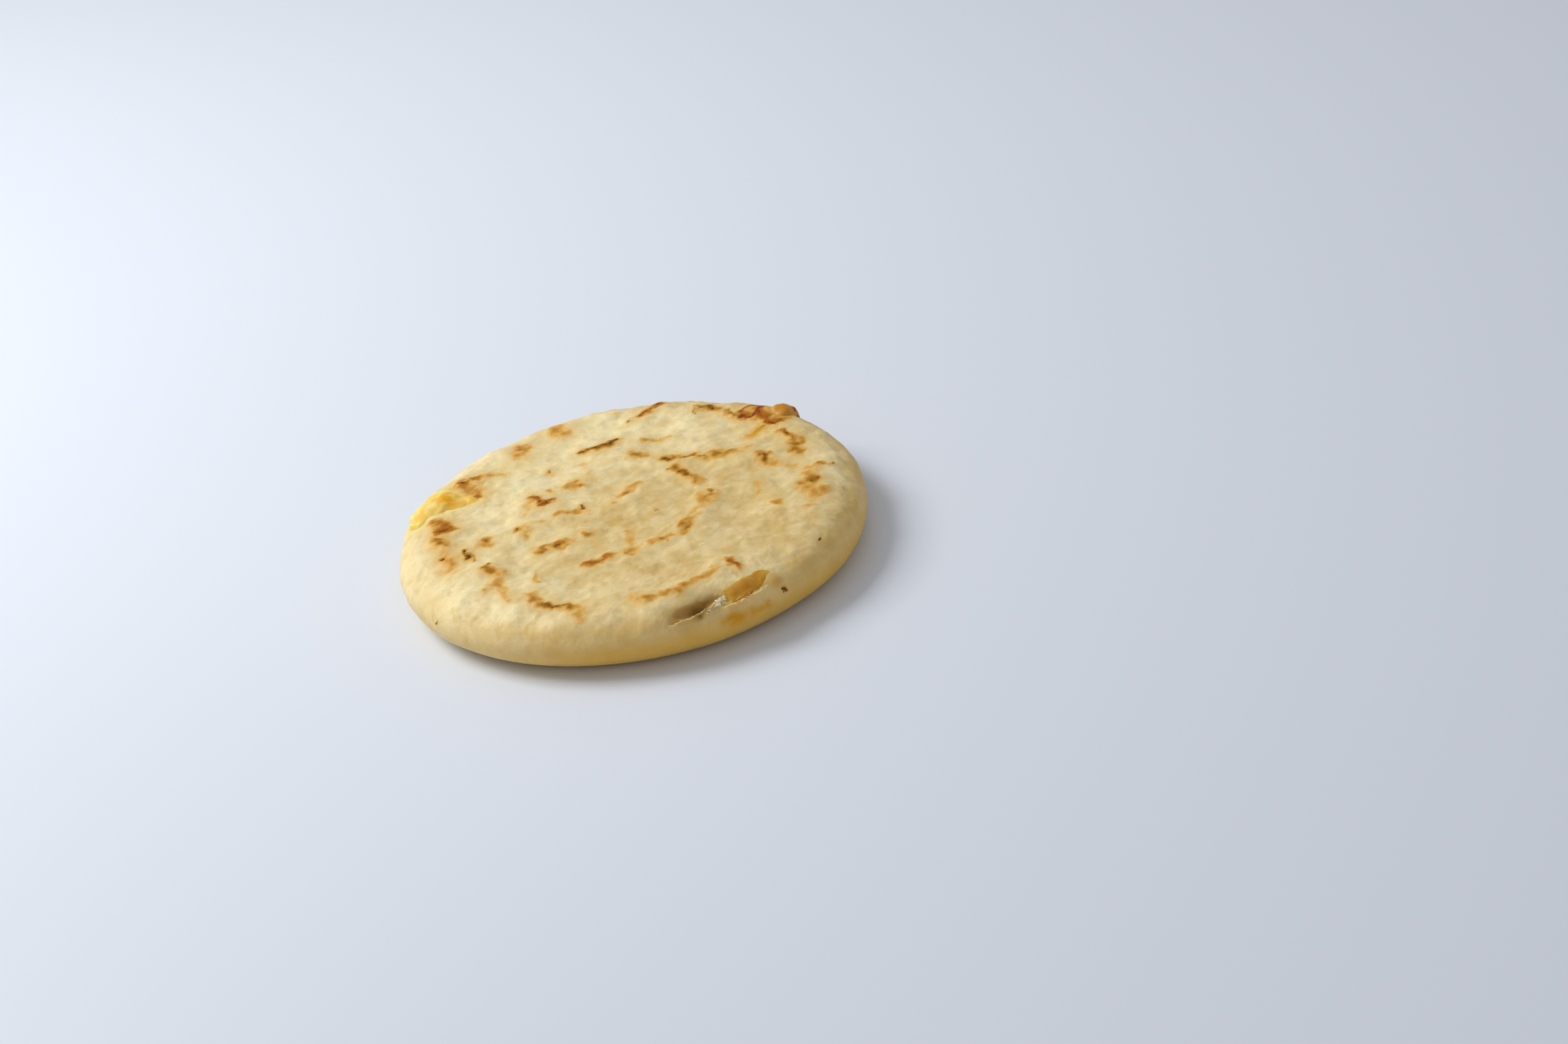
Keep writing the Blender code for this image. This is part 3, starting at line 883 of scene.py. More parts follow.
@dataclass(frozen=True)
class FillingForm:
    """The filling's flat round body and its lobes, and the space in the dough that holds them."""

    radius: float = 0.0490
    height: float = 0.0073
    half_thickness: float = 0.0033
    clearance: float = 0.0003
    steps_round: int = 96
    edge_share: float = 0.98
    edge_segments: int = 6
    lobe_segments: int = 40
    lobe_rings: int = 24
    lump_height: float = 0.0003
    lump_length: float = 0.0058
    lump_lean: float = 0.4
    lump_skew: float = 0.3
    longer_lumps: float = 0.7
    longer_share: float = 0.5
    slit_ragged: float = 0.00045
    slit_ragged_length: float = 0.0024
    slit_starts: tuple[float, ...] = (2.0, 7.0, 12.0)

    def round_body(self, name: str, grow: float) -> bpy.types.Object:
        """Make the flat lens: a cylinder whose two edges are bevelled into one round.

        Args:
            name: the piece's name.
            grow: how much larger than the filling it is on every side.

        Returns:
            The lens.
        """
        deselect_all()
        half = self.half_thickness + grow
        size = {"vertices": self.steps_round, "radius": self.radius + grow, "depth": 2 * half}
        bpy.ops.mesh.primitive_cylinder_add(location=(0, 0, self.height), **size)
        lens = name_new(name)
        bpy.ops.object.transform_apply(location=True, rotation=False, scale=False)
        bpy.ops.object.mode_set(mode="EDIT")
        bpy.ops.mesh.select_mode(type="EDGE")
        bpy.ops.mesh.select_all(action="DESELECT")
        bpy.ops.object.mode_set(mode="OBJECT")
        heights = points_of(lens)[:, 2]
        for edge in lens.data.edges:
            first, second = edge.vertices
            edge.select = bool(abs(heights[first] - heights[second]) < half)
        bpy.ops.object.mode_set(mode="EDIT")
        bpy.ops.mesh.bevel(offset=half * self.edge_share, segments=self.edge_segments, affect="EDGES")
        bpy.ops.mesh.select_all(action="SELECT")
        bpy.ops.mesh.quads_convert_to_tris()
        bpy.ops.object.mode_set(mode="OBJECT")
        return lens

    def lumps(self, points: np.ndarray) -> np.ndarray:
        """Height of the melted filling's lumps.

        Args:
            points: one row of three coordinates for each vertex.

        Returns:
            The height at each point.
        """
        turn = 2 * pi / self.lump_length
        x, y, z = points.T
        wave = np.sin(turn * (x + self.lump_lean * z)) * np.sin(turn * (y - self.lump_skew * x))
        return self.lump_height * (wave + self.longer_share * np.cos(turn * self.longer_lumps * (x + y)))

    def blob(self, lobe: Lobe, grow: float, opening: float, fullness: float) -> bpy.types.Object:
        """Make one lobe: a ball drawn out into a full, rounded tongue.

        Args:
            lobe: its place and semi-axes.
            grow: how much larger it is on every side.
            opening: how much further out it reaches.
            fullness: 2 for an ellipsoid, less for pointed ends and more for full shoulders.

        Returns:
            The lobe.
        """
        deselect_all()
        rings = {"segments": self.lobe_segments, "ring_count": self.lobe_rings}
        bpy.ops.mesh.primitive_uv_sphere_add(radius=1.0, **rings)
        ball = name_new(lobe.name)
        outwards = points_of(ball)
        reach = np.power(np.abs(outwards), fullness).sum(axis=1) ** (1 / fullness)
        sizes = np.array((lobe.along + grow, lobe.across + grow, lobe.outwards + grow + opening))
        place = np.array(lobe.place())
        surface = (outwards * sizes / reach[:, None]) @ place[:3, :3].T + place[:3, 3]
        surface += (outwards @ place[:3, :3].T) * lobe.lumpiness * self.lumps(surface)[:, None]
        move_points(ball, surface)
        return ball

    def space(self) -> bpy.types.Object:
        """Make the shape that is cut out of the dough for the filling and its tears.

        Returns:
            The cutter, with ragged sides where the tear is a slit.
        """
        hollow = self.round_body("filling_space", self.clearance)
        for lobe in LOBES:
            slit = lobe.opening > 0
            cut = self.blob(lobe, 0.0 if slit else self.clearance, lobe.opening, lobe.fullness)
            if slit:
                points = points_of(cut)
                shifts = [wander(points, self.slit_ragged_length, start) for start in self.slit_starts]
                move_points(cut, points + self.slit_ragged * np.column_stack(shifts))
            combine(hollow, cut, "UNION")
        return hollow


@dataclass(frozen=True)
class Fold:
    """A split in the skin along the rim: it sinks on the inner side and has a lip on the outer.

    The path is in plan, in millimetres, and the fold fades out over a share of it at each end.
    """

    path: tuple[Point, ...]
    sink: float
    sink_reach: float
    lip: float
    lip_reach: float
    fading: float = 0.18

    def height(self, plan: np.ndarray) -> np.ndarray:
        """Work out the fold's height.

        Args:
            plan: the unrolled places in millimetres.

        Returns:
            The height at each place.
        """
        nearest = np.full(len(plan), np.inf)
        inner = np.zeros(len(plan), bool)
        along = np.zeros(len(plan))
        out = np.hypot(plan[:, 0], plan[:, 1])
        count = len(self.path) - 1
        for index, (start, end) in enumerate(zip(self.path, self.path[1:])):
            first = np.array(start)
            stretch = np.array(end) - first
            share = np.clip((plan - first) @ stretch / (stretch @ stretch), 0.0, 1.0)
            foot = first + share[:, None] * stretch
            away = np.hypot(*(plan - foot).T)
            closer = away < nearest
            nearest = np.where(closer, away, nearest)
            inner = np.where(closer, out < np.hypot(foot[:, 0], foot[:, 1]), inner)
            along = np.where(closer, (index + share) / count, along)
        taper = ramp(np.minimum(along, 1 - along), 0.0, self.fading)
        sunk = -self.sink * np.exp(-nearest * MM / self.sink_reach)
        raised = self.lip * bump_curve(nearest * MM, self.lip_reach)
        return taper * np.where(inner, sunk, raised)


FOLDS = (
    Fold(((3.5, -59.2), (8.0, -58.0), (12.0, -56.4), (16.0, -53.4)), 0.0021, 0.0028, 0.0006, 0.0016),
    Fold(((16.5, -55.8), (20.0, -55.4), (24.5, -53.4), (29.5, -50.0)), 0.0003, 0.0020, 0.0007, 0.0013),
)


# Materials


class SpotKind(Enum):
    """What a spot of the cheese is, by the attribute that the material reads."""

    SCORCHED = "scorch"
    # Deep yellow, and the painted shade of the slit's recessed cheese
    RICH_AND_SHADED = "rich_and_shaded"
    # Paler fat, partly a painted highlight
    FAT_AND_HIGHLIGHT = "fat"
    THIN = "thin"


# How bright plain white looks in the studio, the glare over every colour, and the least light
LIGHT_LEVEL = 0.86
GLARE = 0.014
DARKEST = 0.001


def seen(red: int, green: int, blue: int) -> Colour:
    """Work out the reflectance behind a colour that is seen in the studio's even light.

    Args:
        red: the red seen, from 0 to 255.
        green: the green seen.
        blue: the blue seen.

    Returns:
        The reflectance, as a node's colour value.
    """
    shares = []
    for part in (red, green, blue):
        value = part / 255
        # The screen's usual curve, from a stored value to an amount of light
        linear = ((value + 0.055) / 1.055) ** 2.4 if value > 0.04045 else value / 12.92
        shares.append(min(max(linear - GLARE, DARKEST) / LIGHT_LEVEL, 1.0))
    return (*shares, 1.0)


class Recipe:
    """Adds and links the nodes of one material."""

    def __init__(self, name: str) -> None:
        """Start a material with a Principled shader.

        Args:
            name: the material's name.
        """
        self.material = bpy.data.materials.new(name)
        self.material.use_nodes = True
        self.tree = self.material.node_tree
        self.shader = self.tree.nodes["Principled BSDF"]
        self.place = self.add("ShaderNodeTexCoord").outputs["Object"]

    def add(self, kind: str, **settings: object) -> bpy.types.Node:
        """Add a node.

        Args:
            kind: the node's type.
            settings: the node's own values.

        Returns:
            The node.
        """
        node = self.tree.nodes.new(kind)
        for setting, value in settings.items():
            setattr(node, setting, value)
        return node

    def feed(self, socket: bpy.types.NodeSocket, value: object) -> None:
        """Link a socket to another node's output, or set it to a constant.

        Args:
            socket: the input.
            value: the output or the constant.
        """
        if isinstance(value, bpy.types.NodeSocket):
            self.tree.links.new(value, socket)
        else:
            socket.default_value = value

    def attribute(self, name: str) -> bpy.types.NodeSocket:
        """Read one of the mesh's own numbers."""
        return self.add("ShaderNodeAttribute", attribute_name=name).outputs["Fac"]

    def maths(self, operation: str, *values: object) -> bpy.types.NodeSocket:
        """Work out a number.

        Args:
            operation: the Math node's operation.
            values: its inputs, sockets or constants.

        Returns:
            The result's socket.
        """
        node = self.add("ShaderNodeMath", operation=operation)
        for socket, value in zip(node.inputs, values):
            self.feed(socket, value)
        return node.outputs[0]

    def scaled(self, value: object, share: float) -> bpy.types.NodeSocket:
        """Take a share of a number."""
        return self.maths("MULTIPLY", value, share)

    def span(self, value: object, low: float, high: float, start: float = 0.0, end: float = 1.0) -> object:
        """Ease a number from one range into another.

        Args:
            value: the number's socket.
            low: the value that gives start.
            high: the value that gives end.
            start: the result at and below low.
            end: the result at and above high.

        Returns:
            The result's socket.
        """
        node = self.add("ShaderNodeMapRange", interpolation_type="SMOOTHSTEP")
        for socket, number in zip(node.inputs, (value, low, high, start, end)):
            self.feed(socket, number)
        return node.outputs[0]

    def cloud(self, length: float, detail: float = 2.0, place: object = None, warp: float = 0.0) -> object:
        """Add a noise pattern.

        Args:
            length: the pattern's rough length in metres.
            detail: how many finer layers it has.
            place: the coordinates it reads, or none for the object's own.
            warp: how far it is distorted.

        Returns:
            The socket of its value, from 0 to 1.
        """
        node = self.add("ShaderNodeTexNoise")
        self.feed(node.inputs["Vector"], place or self.place)
        node.inputs["Scale"].default_value = 1 / length
        node.inputs["Detail"].default_value = detail
        node.inputs["Distortion"].default_value = warp
        return node.outputs["Fac"]

    def curled(self, length: float, reach: float) -> bpy.types.NodeSocket:
        """Shift the object's coordinates by a noise, so that a pattern curls.

        Args:
            length: the rough length of the curls.
            reach: how far a place is shifted.

        Returns:
            The shifted coordinates' socket.
        """
        node = self.add("ShaderNodeTexNoise")
        self.feed(node.inputs["Vector"], self.place)
        node.inputs["Scale"].default_value = 1 / length
        node.inputs["Detail"].default_value = 1.0
        centred = self.add("ShaderNodeVectorMath", operation="SUBTRACT")
        self.feed(centred.inputs[0], node.outputs["Color"])
        centred.inputs[1].default_value = (0.5, 0.5, 0.5)
        scaled = self.add("ShaderNodeVectorMath", operation="SCALE")
        self.feed(scaled.inputs[0], centred.outputs[0])
        scaled.inputs["Scale"].default_value = reach
        moved = self.add("ShaderNodeVectorMath", operation="ADD")
        self.feed(moved.inputs[0], scaled.outputs[0])
        self.feed(moved.inputs[1], self.place)
        return moved.outputs[0]

    def blend(self, share: object, first: object, second: object) -> bpy.types.NodeSocket:
        """Mix two colours.

        Args:
            share: how much of the second is taken.
            first: a colour or its socket.
            second: a colour or its socket.

        Returns:
            The mixed colour's socket.
        """
        node = self.add("ShaderNodeMix", data_type="RGBA")
        self.feed(node.inputs[0], share)
        self.feed(node.inputs[6], first)
        self.feed(node.inputs[7], second)
        return node.outputs[2]

    def steps(self, value: object, stops: Sequence[tuple[float, Colour]]) -> bpy.types.NodeSocket:
        """Turn a number into a colour by a row of stops.

        Args:
            value: the number's socket.
            stops: the place and colour of each stop.

        Returns:
            The colour's socket.
        """
        node = self.add("ShaderNodeValToRGB")
        ramp = node.color_ramp
        while len(ramp.elements) < len(stops):
            ramp.elements.new(0.5)
        for element, (place, colour) in zip(ramp.elements, stops):
            element.position = place
            element.color = colour
        self.feed(node.inputs[0], value)
        return node.outputs[0]

    def relief(self, height: object, distance: float, strength: float = 1.0) -> None:
        """Give the shader a bump.

        Args:
            height: the socket of the bump's height, from 0 to 1.
            distance: the height in metres that 1 stands for.
            strength: how much of it shows.
        """
        node = self.add("ShaderNodeBump")
        node.inputs["Strength"].default_value = strength
        node.inputs["Distance"].default_value = distance
        self.feed(node.inputs["Height"], height)
        self.feed(self.shader.inputs["Normal"], node.outputs[0])

    def finish(self, colour: object, roughness: object, **constants: object) -> bpy.types.Material:
        """Give the shader its colour, its roughness and what is the same all over.

        Args:
            colour: the base colour or its socket.
            roughness: the roughness or its socket.
            constants: further inputs by name, with spaces as underscores.

        Returns:
            The material.
        """
        self.feed(self.shader.inputs["Base Color"], colour)
        self.feed(self.shader.inputs["Roughness"], roughness)
        for name, value in constants.items():
            self.shader.inputs[name.replace("_", " ")].default_value = value
        return self.material


@dataclass(frozen=True)
class DoughFinish:
    """Cooked corn dough: moist cream with pale strands, golden rims to its marks and dark cores, and
    painted shade on its rim, in its middle and in its crevice.

    A range gives the values of a pattern between which something sets in, and a share how much of
    it shows at most.
    """

    pale: Colour = seen(241, 225, 178)
    cool: Colour = seen(230, 220, 182)
    # The warmer cream, which also serves as painted shade
    warm: Colour = seen(200, 168, 104)
    strand: Colour = seen(240, 230, 190)
    olive: Colour = seen(202, 182, 116)
    speck: Colour = seen(190, 160, 88)
    # Painted shade of the rim: a darker tan
    tan: Colour = seen(208, 162, 66)
    grease: Colour = seen(206, 146, 0)
    soaked: Colour = seen(248, 208, 104)
    # Painted shade of the crevice's slope
    shade: Colour = seen(132, 96, 14)
    golden: tuple[tuple[float, Colour], ...] = (
        (0.10, seen(228, 203, 138)), (0.45, seen(212, 168, 88)), (0.90, seen(160, 112, 36)),
    )
    russet: tuple[tuple[float, Colour], ...] = (
        (0.10, seen(230, 200, 136)), (0.45, seen(214, 164, 88)), (0.90, seen(164, 104, 28)),
    )
    umber: tuple[tuple[float, Colour], ...] = (
        (0.30, seen(160, 114, 38)), (0.65, seen(126, 86, 26)), (1.00, seen(84, 58, 18)),
    )
    sienna: tuple[tuple[float, Colour], ...] = (
        (0.30, seen(170, 96, 0)), (0.65, seen(142, 72, 0)), (1.00, seen(112, 56, 0)),
    )
    curl_length: float = 0.0060
    curl_reach: float = 0.0050
    strand_length: float = 0.0042
    strand_width: float = 0.16
    strand_share: float = 0.20
    patch_length: float = 0.0044
    patch_range: Range = (0.38, 0.62)
    blotch_length: float = 0.0075
    blotch_range: Range = (0.38, 0.64)
    blotch_share: float = 0.30
    cool_length: float = 0.0062
    cool_range: Range = (0.46, 0.66)
    cool_share: float = 0.8
    mottle_length: float = 0.0030
    mottle_range: Range = (0.46, 0.72)
    mottle_share: float = 0.36
    grain_length: float = 0.0008
    speck_range: Range = (0.3, 0.5)
    speck_share: float = 0.14
    glow_share: float = 0.9
    soak_share: float = 0.60
    grease_share: float = 0.95
    # Where the rim's painted shade sets in, by height and by side
    low_rim: Range = (0.0055, 0.0150)
    low_rim_share: float = 0.88
    high_rim: Range = (0.0118, 0.0147)
    high_rim_share: float = 0.42
    lit_left_side: Range = (-0.060, -0.010)
    lit_left_side_share: float = 0.42
    flake_length: float = 0.0030
    flake_shares: Range = (0.60, 1.22)
    toast_range: Range = (0.0, 0.58)
    crackle_length: float = 0.0016
    crackle_range: Range = (0.32, 0.68)
    crackle_shares: Range = (0.55, 1.25)
    burnt_tones: Range = (0.45, 1.0)
    char_range: Range = (0.05, 0.75)
    even_range: Range = (0.3, 0.7)
    gloss_length: float = 0.0040
    roughness: Range = (0.44, 0.66)
    char_roughness: float = 0.16
    crease_length: float = 0.0022
    crease_share: float = 0.90
    grain_share: float = 0.30
    strand_relief: float = 0.10
    relief_height: float = 0.00028
    relief_share: float = 0.7

    def material(self) -> bpy.types.Material:
        """Build the dough's material.

        Returns:
            The material.
        """
        made = Recipe("corn_dough_griddled")
        curled = made.curled(self.curl_length, self.curl_reach)
        strands = self.strands(made, curled)
        grain = made.cloud(self.grain_length, 3.0)
        cream = self.cream(made, curled)
        cream = made.blend(made.scaled(strands, self.strand_share), cream, self.strand)
        cream = made.blend(made.span(grain, *self.speck_range, self.speck_share, 0.0), cream, self.speck)
        # Painted shade: the rim goes tan towards the underside, less on the lit left side
        cream = made.blend(self.painted_rim_shade(made), cream, self.tan)
        cream = made.blend(made.scaled(made.attribute("soak"), self.soak_share), cream, self.soaked)
        cream = made.blend(made.scaled(made.attribute("grease"), self.grease_share), cream, self.grease)
        # Painted shade in the crevice
        colour = made.blend(made.attribute("shade"), self.browned(made, cream), self.shade)
        rough = made.span(made.cloud(self.gloss_length), *self.even_range, *self.roughness)
        rough = made.maths("ADD", rough, made.scaled(made.attribute("char"), self.char_roughness))
        height = made.scaled(grain, self.grain_share)
        height = made.maths("MULTIPLY_ADD", strands, self.strand_relief, height)
        creases = made.cloud(self.crease_length, 3.0, curled)
        height = made.maths("MULTIPLY_ADD", creases, self.crease_share, height)
        made.relief(height, self.relief_height, self.relief_share)
        return made.finish(
            colour,
            rough,
            Subsurface_Weight=0.42,
            Subsurface_Radius=(1.0, 0.60, 0.22),
            Subsurface_Scale=0.0016,
            Specular_IOR_Level=0.14,
            Coat_Weight=0.02,
            Coat_Roughness=0.28,
        )

    def strands(self, made: Recipe, curled: bpy.types.NodeSocket) -> bpy.types.NodeSocket:
        """Draw thin curling strands where a slow pattern crosses its middle, in patches.

        Args:
            made: the material being built.
            curled: the curling coordinates.

        Returns:
            The socket of how strong a strand is.
        """
        offset = made.maths("SUBTRACT", made.cloud(self.strand_length, 1.0, curled), 0.5)
        thread = made.span(made.maths("ABSOLUTE", offset), 0.0, self.strand_width, 1.0, 0.0)
        patches = made.span(made.cloud(self.patch_length, 1.0), *self.patch_range)
        return made.maths("MULTIPLY", thread, patches)

    def cream(self, made: Recipe, curled: bpy.types.NodeSocket) -> bpy.types.NodeSocket:
        """Mottle the bare dough with cooler, warmer and more olive cream, the warmer cream partly painted
        shade.

        Args:
            made: the material being built.
            curled: the curling coordinates.

        Returns:
            The colour's socket.
        """
        blotches = made.span(made.cloud(self.blotch_length), *self.blotch_range)
        coolness = made.span(made.cloud(self.cool_length, place=curled), *self.cool_range)
        mottle = made.span(made.cloud(self.mottle_length, place=curled), *self.mottle_range)
        # The warm places carry painted shade too: darker in the middle and on the right rim
        warmth_and_shade = made.maths("MULTIPLY_ADD", blotches, self.blotch_share, made.attribute("warmth_and_shade"))
        warmth_and_shade = made.maths("MAXIMUM", warmth_and_shade, made.scaled(made.attribute("glow"), self.glow_share))
        cream = made.blend(made.scaled(coolness, self.cool_share), self.pale, self.cool)
        cream = made.blend(warmth_and_shade, cream, self.warm)
        return made.blend(made.scaled(mottle, self.mottle_share), cream, self.olive)

    def painted_rim_shade(self, made: Recipe) -> bpy.types.NodeSocket:
        """Work out the rim's painted shade, a tan: more towards the underside and less on the lit left
        side, where the burst is.

        Args:
            made: the material being built.

        Returns:
            The share's socket.
        """
        sides = made.add("ShaderNodeSeparateXYZ")
        made.feed(sides.inputs[0], made.place)
        low = made.span(sides.outputs["Z"], *self.low_rim, self.low_rim_share, 0.0)
        high = made.span(sides.outputs["Z"], *self.high_rim, self.high_rim_share, 0.0)
        across = made.span(sides.outputs["X"], *self.lit_left_side, self.lit_left_side_share, 1.0)
        return made.maths("MULTIPLY", made.maths("MAXIMUM", low, high), across)

    def browned(self, made: Recipe, cream: bpy.types.NodeSocket) -> bpy.types.NodeSocket:
        """Lay the griddle's browning and charring over the cream, and the painted shadow line along the
        slit with them.

        Args:
            made: the material being built.
            cream: the colour below.

        Returns:
            The browned colour's socket.
        """
        tone = made.attribute("tone")
        flakes = made.span(made.cloud(self.flake_length), *self.even_range, *self.flake_shares)
        toast = made.maths("MULTIPLY", made.attribute("toast"), flakes)
        brown = made.blend(tone, made.steps(toast, self.golden), made.steps(toast, self.russet))
        brown = made.blend(made.span(toast, *self.toast_range), cream, brown)
        crackle = made.cloud(self.crackle_length, 3.0)
        crackle = made.span(crackle, *self.crackle_range, *self.crackle_shares)
        char = made.maths("MULTIPLY", made.attribute("char"), crackle)
        burnt = made.span(tone, *self.burnt_tones)
        dark = made.blend(burnt, made.steps(char, self.umber), made.steps(char, self.sienna))
        return made.blend(made.span(char, *self.char_range), brown, dark)


@dataclass(frozen=True)
class CheeseFinish:
    """Melted cheese: glossy, soft to light, deep yellow with paler fat and browned skin, with a painted
    highlight on the burst's lit left and painted shade in the slit.

    A range gives the values of a pattern between which something sets in, and a share how much of
    it shows at most.
    """

    deep: Colour = seen(236, 174, 30)
    pale: Colour = seen(254, 212, 108)
    # Deep yellow, also the painted shade of the slit's recessed cheese
    rich_and_shaded: Colour = seen(186, 124, 0)
    # Paler fat, partly a painted highlight where the burst faces the light
    fat: Colour = seen(255, 232, 160)
    thin: Colour = seen(248, 208, 124)
    tan: Colour = seen(206, 150, 72)
    scorched: Colour = seen(128, 56, 8)
    streak_length: float = 0.0034
    streak_warp: float = 0.8
    streak_range: Range = (0.40, 0.64)
    rich_and_shaded_share: float = 0.9
    fat_and_highlight_share: float = 0.8
    thin_share: float = 0.75
    crust_length: float = 0.0012
    crust_shares: Range = (0.6, 1.2)
    tan_range: Range = (0.1, 0.5)
    scorched_range: Range = (0.5, 0.95)
    even_range: Range = (0.3, 0.7)
    gloss_length: float = 0.0020
    roughness: Range = (0.32, 0.52)
    ripple_length: float = 0.0026
    ripple_warp: float = 0.5
    crust_relief: float = 0.5
    relief_height: float = 0.00030
    relief_share: float = 0.6

    def material(self) -> bpy.types.Material:
        """Build the cheese's material.

        Returns:
            The material.
        """
        made = Recipe("cheese_melted")
        streaks = made.cloud(self.streak_length, 3.0, warp=self.streak_warp)
        colour = made.blend(made.span(streaks, *self.streak_range), self.deep, self.pale)
        for kind, share, paint in (
            (SpotKind.RICH_AND_SHADED, self.rich_and_shaded_share, self.rich_and_shaded),
            (SpotKind.FAT_AND_HIGHLIGHT, self.fat_and_highlight_share, self.fat),
            (SpotKind.THIN, self.thin_share, self.thin),
        ):
            colour = made.blend(made.scaled(made.attribute(kind.value), share), colour, paint)
        crust = made.span(made.cloud(self.crust_length, 4.0), *self.even_range, *self.crust_shares)
        crust = made.maths("MULTIPLY", made.attribute(SpotKind.SCORCHED.value), crust)
        colour = made.blend(made.span(crust, *self.tan_range), colour, self.tan)
        colour = made.blend(made.span(crust, *self.scorched_range), colour, self.scorched)
        rough = made.span(made.cloud(self.gloss_length), *self.even_range, *self.roughness)
        ripples = made.cloud(self.ripple_length, warp=self.ripple_warp)
        height = made.maths("MULTIPLY_ADD", crust, self.crust_relief, ripples)
        made.relief(height, self.relief_height, self.relief_share)
        return made.finish(
            colour,
            rough,
            Subsurface_Weight=0.5,
            Subsurface_Radius=(1.0, 0.45, 0.08),
            Subsurface_Scale=0.0022,
            Specular_IOR_Level=0.32,
        )


@dataclass(frozen=True)
class CrumbFinish:
    """Moist white crumbs of dough and fat at the crevice."""

    body: Colour = seen(232, 216, 180)
    shade: Colour = seen(206, 176, 118)
    shade_length: float = 0.0008
    shade_range: Range = (0.35, 0.65)
    gloss_length: float = 0.0006
    gloss_range: Range = (0.3, 0.7)
    roughness: Range = (0.20, 0.42)
    grain_length: float = 0.0004
    relief_height: float = 0.00015
    relief_share: float = 0.6

    def material(self) -> bpy.types.Material:
        """Build the crumbs' material.

        Returns:
            The material.
        """
        made = Recipe("crumbs_moist")
        shaded = made.span(made.cloud(self.shade_length), *self.shade_range)
        colour = made.blend(shaded, self.body, self.shade)
        rough = made.span(made.cloud(self.gloss_length, 1.0), *self.gloss_range, *self.roughness)
        made.relief(made.cloud(self.grain_length), self.relief_height, self.relief_share)
        return made.finish(
            colour,
            rough,
            Subsurface_Weight=0.6,
            Subsurface_Radius=(1.0, 0.8, 0.5),
            Subsurface_Scale=0.0010,
        )


@dataclass(frozen=True)
class FloorFinish:
    """A pale, faintly glossy sheet."""

    colour: Colour = (0.790, 0.845, 0.950, 1.0)
    cloudy: Colour = (0.750, 0.800, 0.900, 1.0)
    cloud_length: float = 0.5
    cloud_share: float = 0.06
    even_range: Range = (0.3, 0.7)
    gloss_length: float = 0.2
    roughness: Range = (0.30, 0.36)
    grain_length: float = 0.004
    relief_height: float = 0.00002
    relief_share: float = 0.2

    def material(self) -> bpy.types.Material:
        """Build the floor's material.

        Returns:
            The material.
        """
        made = Recipe("pale_sheet")
        cloudiness = made.span(made.cloud(self.cloud_length, 1.0), *self.even_range, 0.0, self.cloud_share)
        colour = made.blend(cloudiness, self.colour, self.cloudy)
        rough = made.span(made.cloud(self.gloss_length, 1.0), *self.even_range, *self.roughness)
        made.relief(made.cloud(self.grain_length), self.relief_height, self.relief_share)
        return made.finish(colour, rough, Specular_IOR_Level=0.35)


# The pieces


@dataclass(frozen=True)
class FineArea:
    """A round area in plan, in millimetres, where the dough's mesh is at its finest."""

    x: float
    y: float
    reach: float


@dataclass(frozen=True)
class Relief:
    """Soft random ups and downs of a surface, with finer ones on them.

    The starts say where in the random pattern the ups and downs and the finer ones begin.
    """

    height: float
    length: float
    start: float
    finer_height: float
    finer_length: float
    finer_start: float

    def at(self, points: np.ndarray) -> np.ndarray:
        """Work out the height.

        Args:
            points: one row of three coordinates for each place.

        Returns:
            The height at each place.
        """
        finer = self.finer_height * wander(points, self.finer_length, self.finer_start)
        return self.height * wander(points, self.length, self.start) + finer


@dataclass(frozen=True)
class Strands:
    """Soft raised threads of the dough's skin, in patches.

    A thread runs where a random pattern passes through nought. In plan the threads show most at the
    near right, and near_fall and right_rise are the millimetres over which they would change by 1.
    """

    height: float = 0.00004
    length: float = 0.0036
    start: float = 13.0
    half_width: float = 0.45
    patch_length: float = 0.0040
    patch_start: float = 17.0
    patch_middle: float = 0.6
    patch_contrast: float = 1.8
    middle_share: float = 0.55
    near_fall: float = 70.0
    right_rise: float = 160.0
    least_share: float = 0.2
    rim_share: float = 0.3

    def at(self, points: np.ndarray) -> np.ndarray:
        """Work out the threads' height.

        Args:
            points: one row of three coordinates for each place.

        Returns:
            The height at each place.
        """
        crest = np.clip(1 - np.abs(wander(points, self.length, self.start)) / self.half_width, 0.0, 1.0)
        eased = np.square(crest) * (3 - 2 * crest)
        patches = self.patch_contrast * wander(points, self.patch_length, self.patch_start)
        return self.height * (eased * np.clip(self.patch_middle + patches, 0.0, 1.0))

    def shown(self, plan: np.ndarray) -> np.ndarray:
        """Work out how much of the threads shows where.

        Args:
            plan: the unrolled places in millimetres.

        Returns:
            The share at each place.
        """
        share = self.middle_share - plan[:, 1] / self.near_fall + plan[:, 0] / self.right_rise
        return np.clip(share, self.least_share, 1.0)


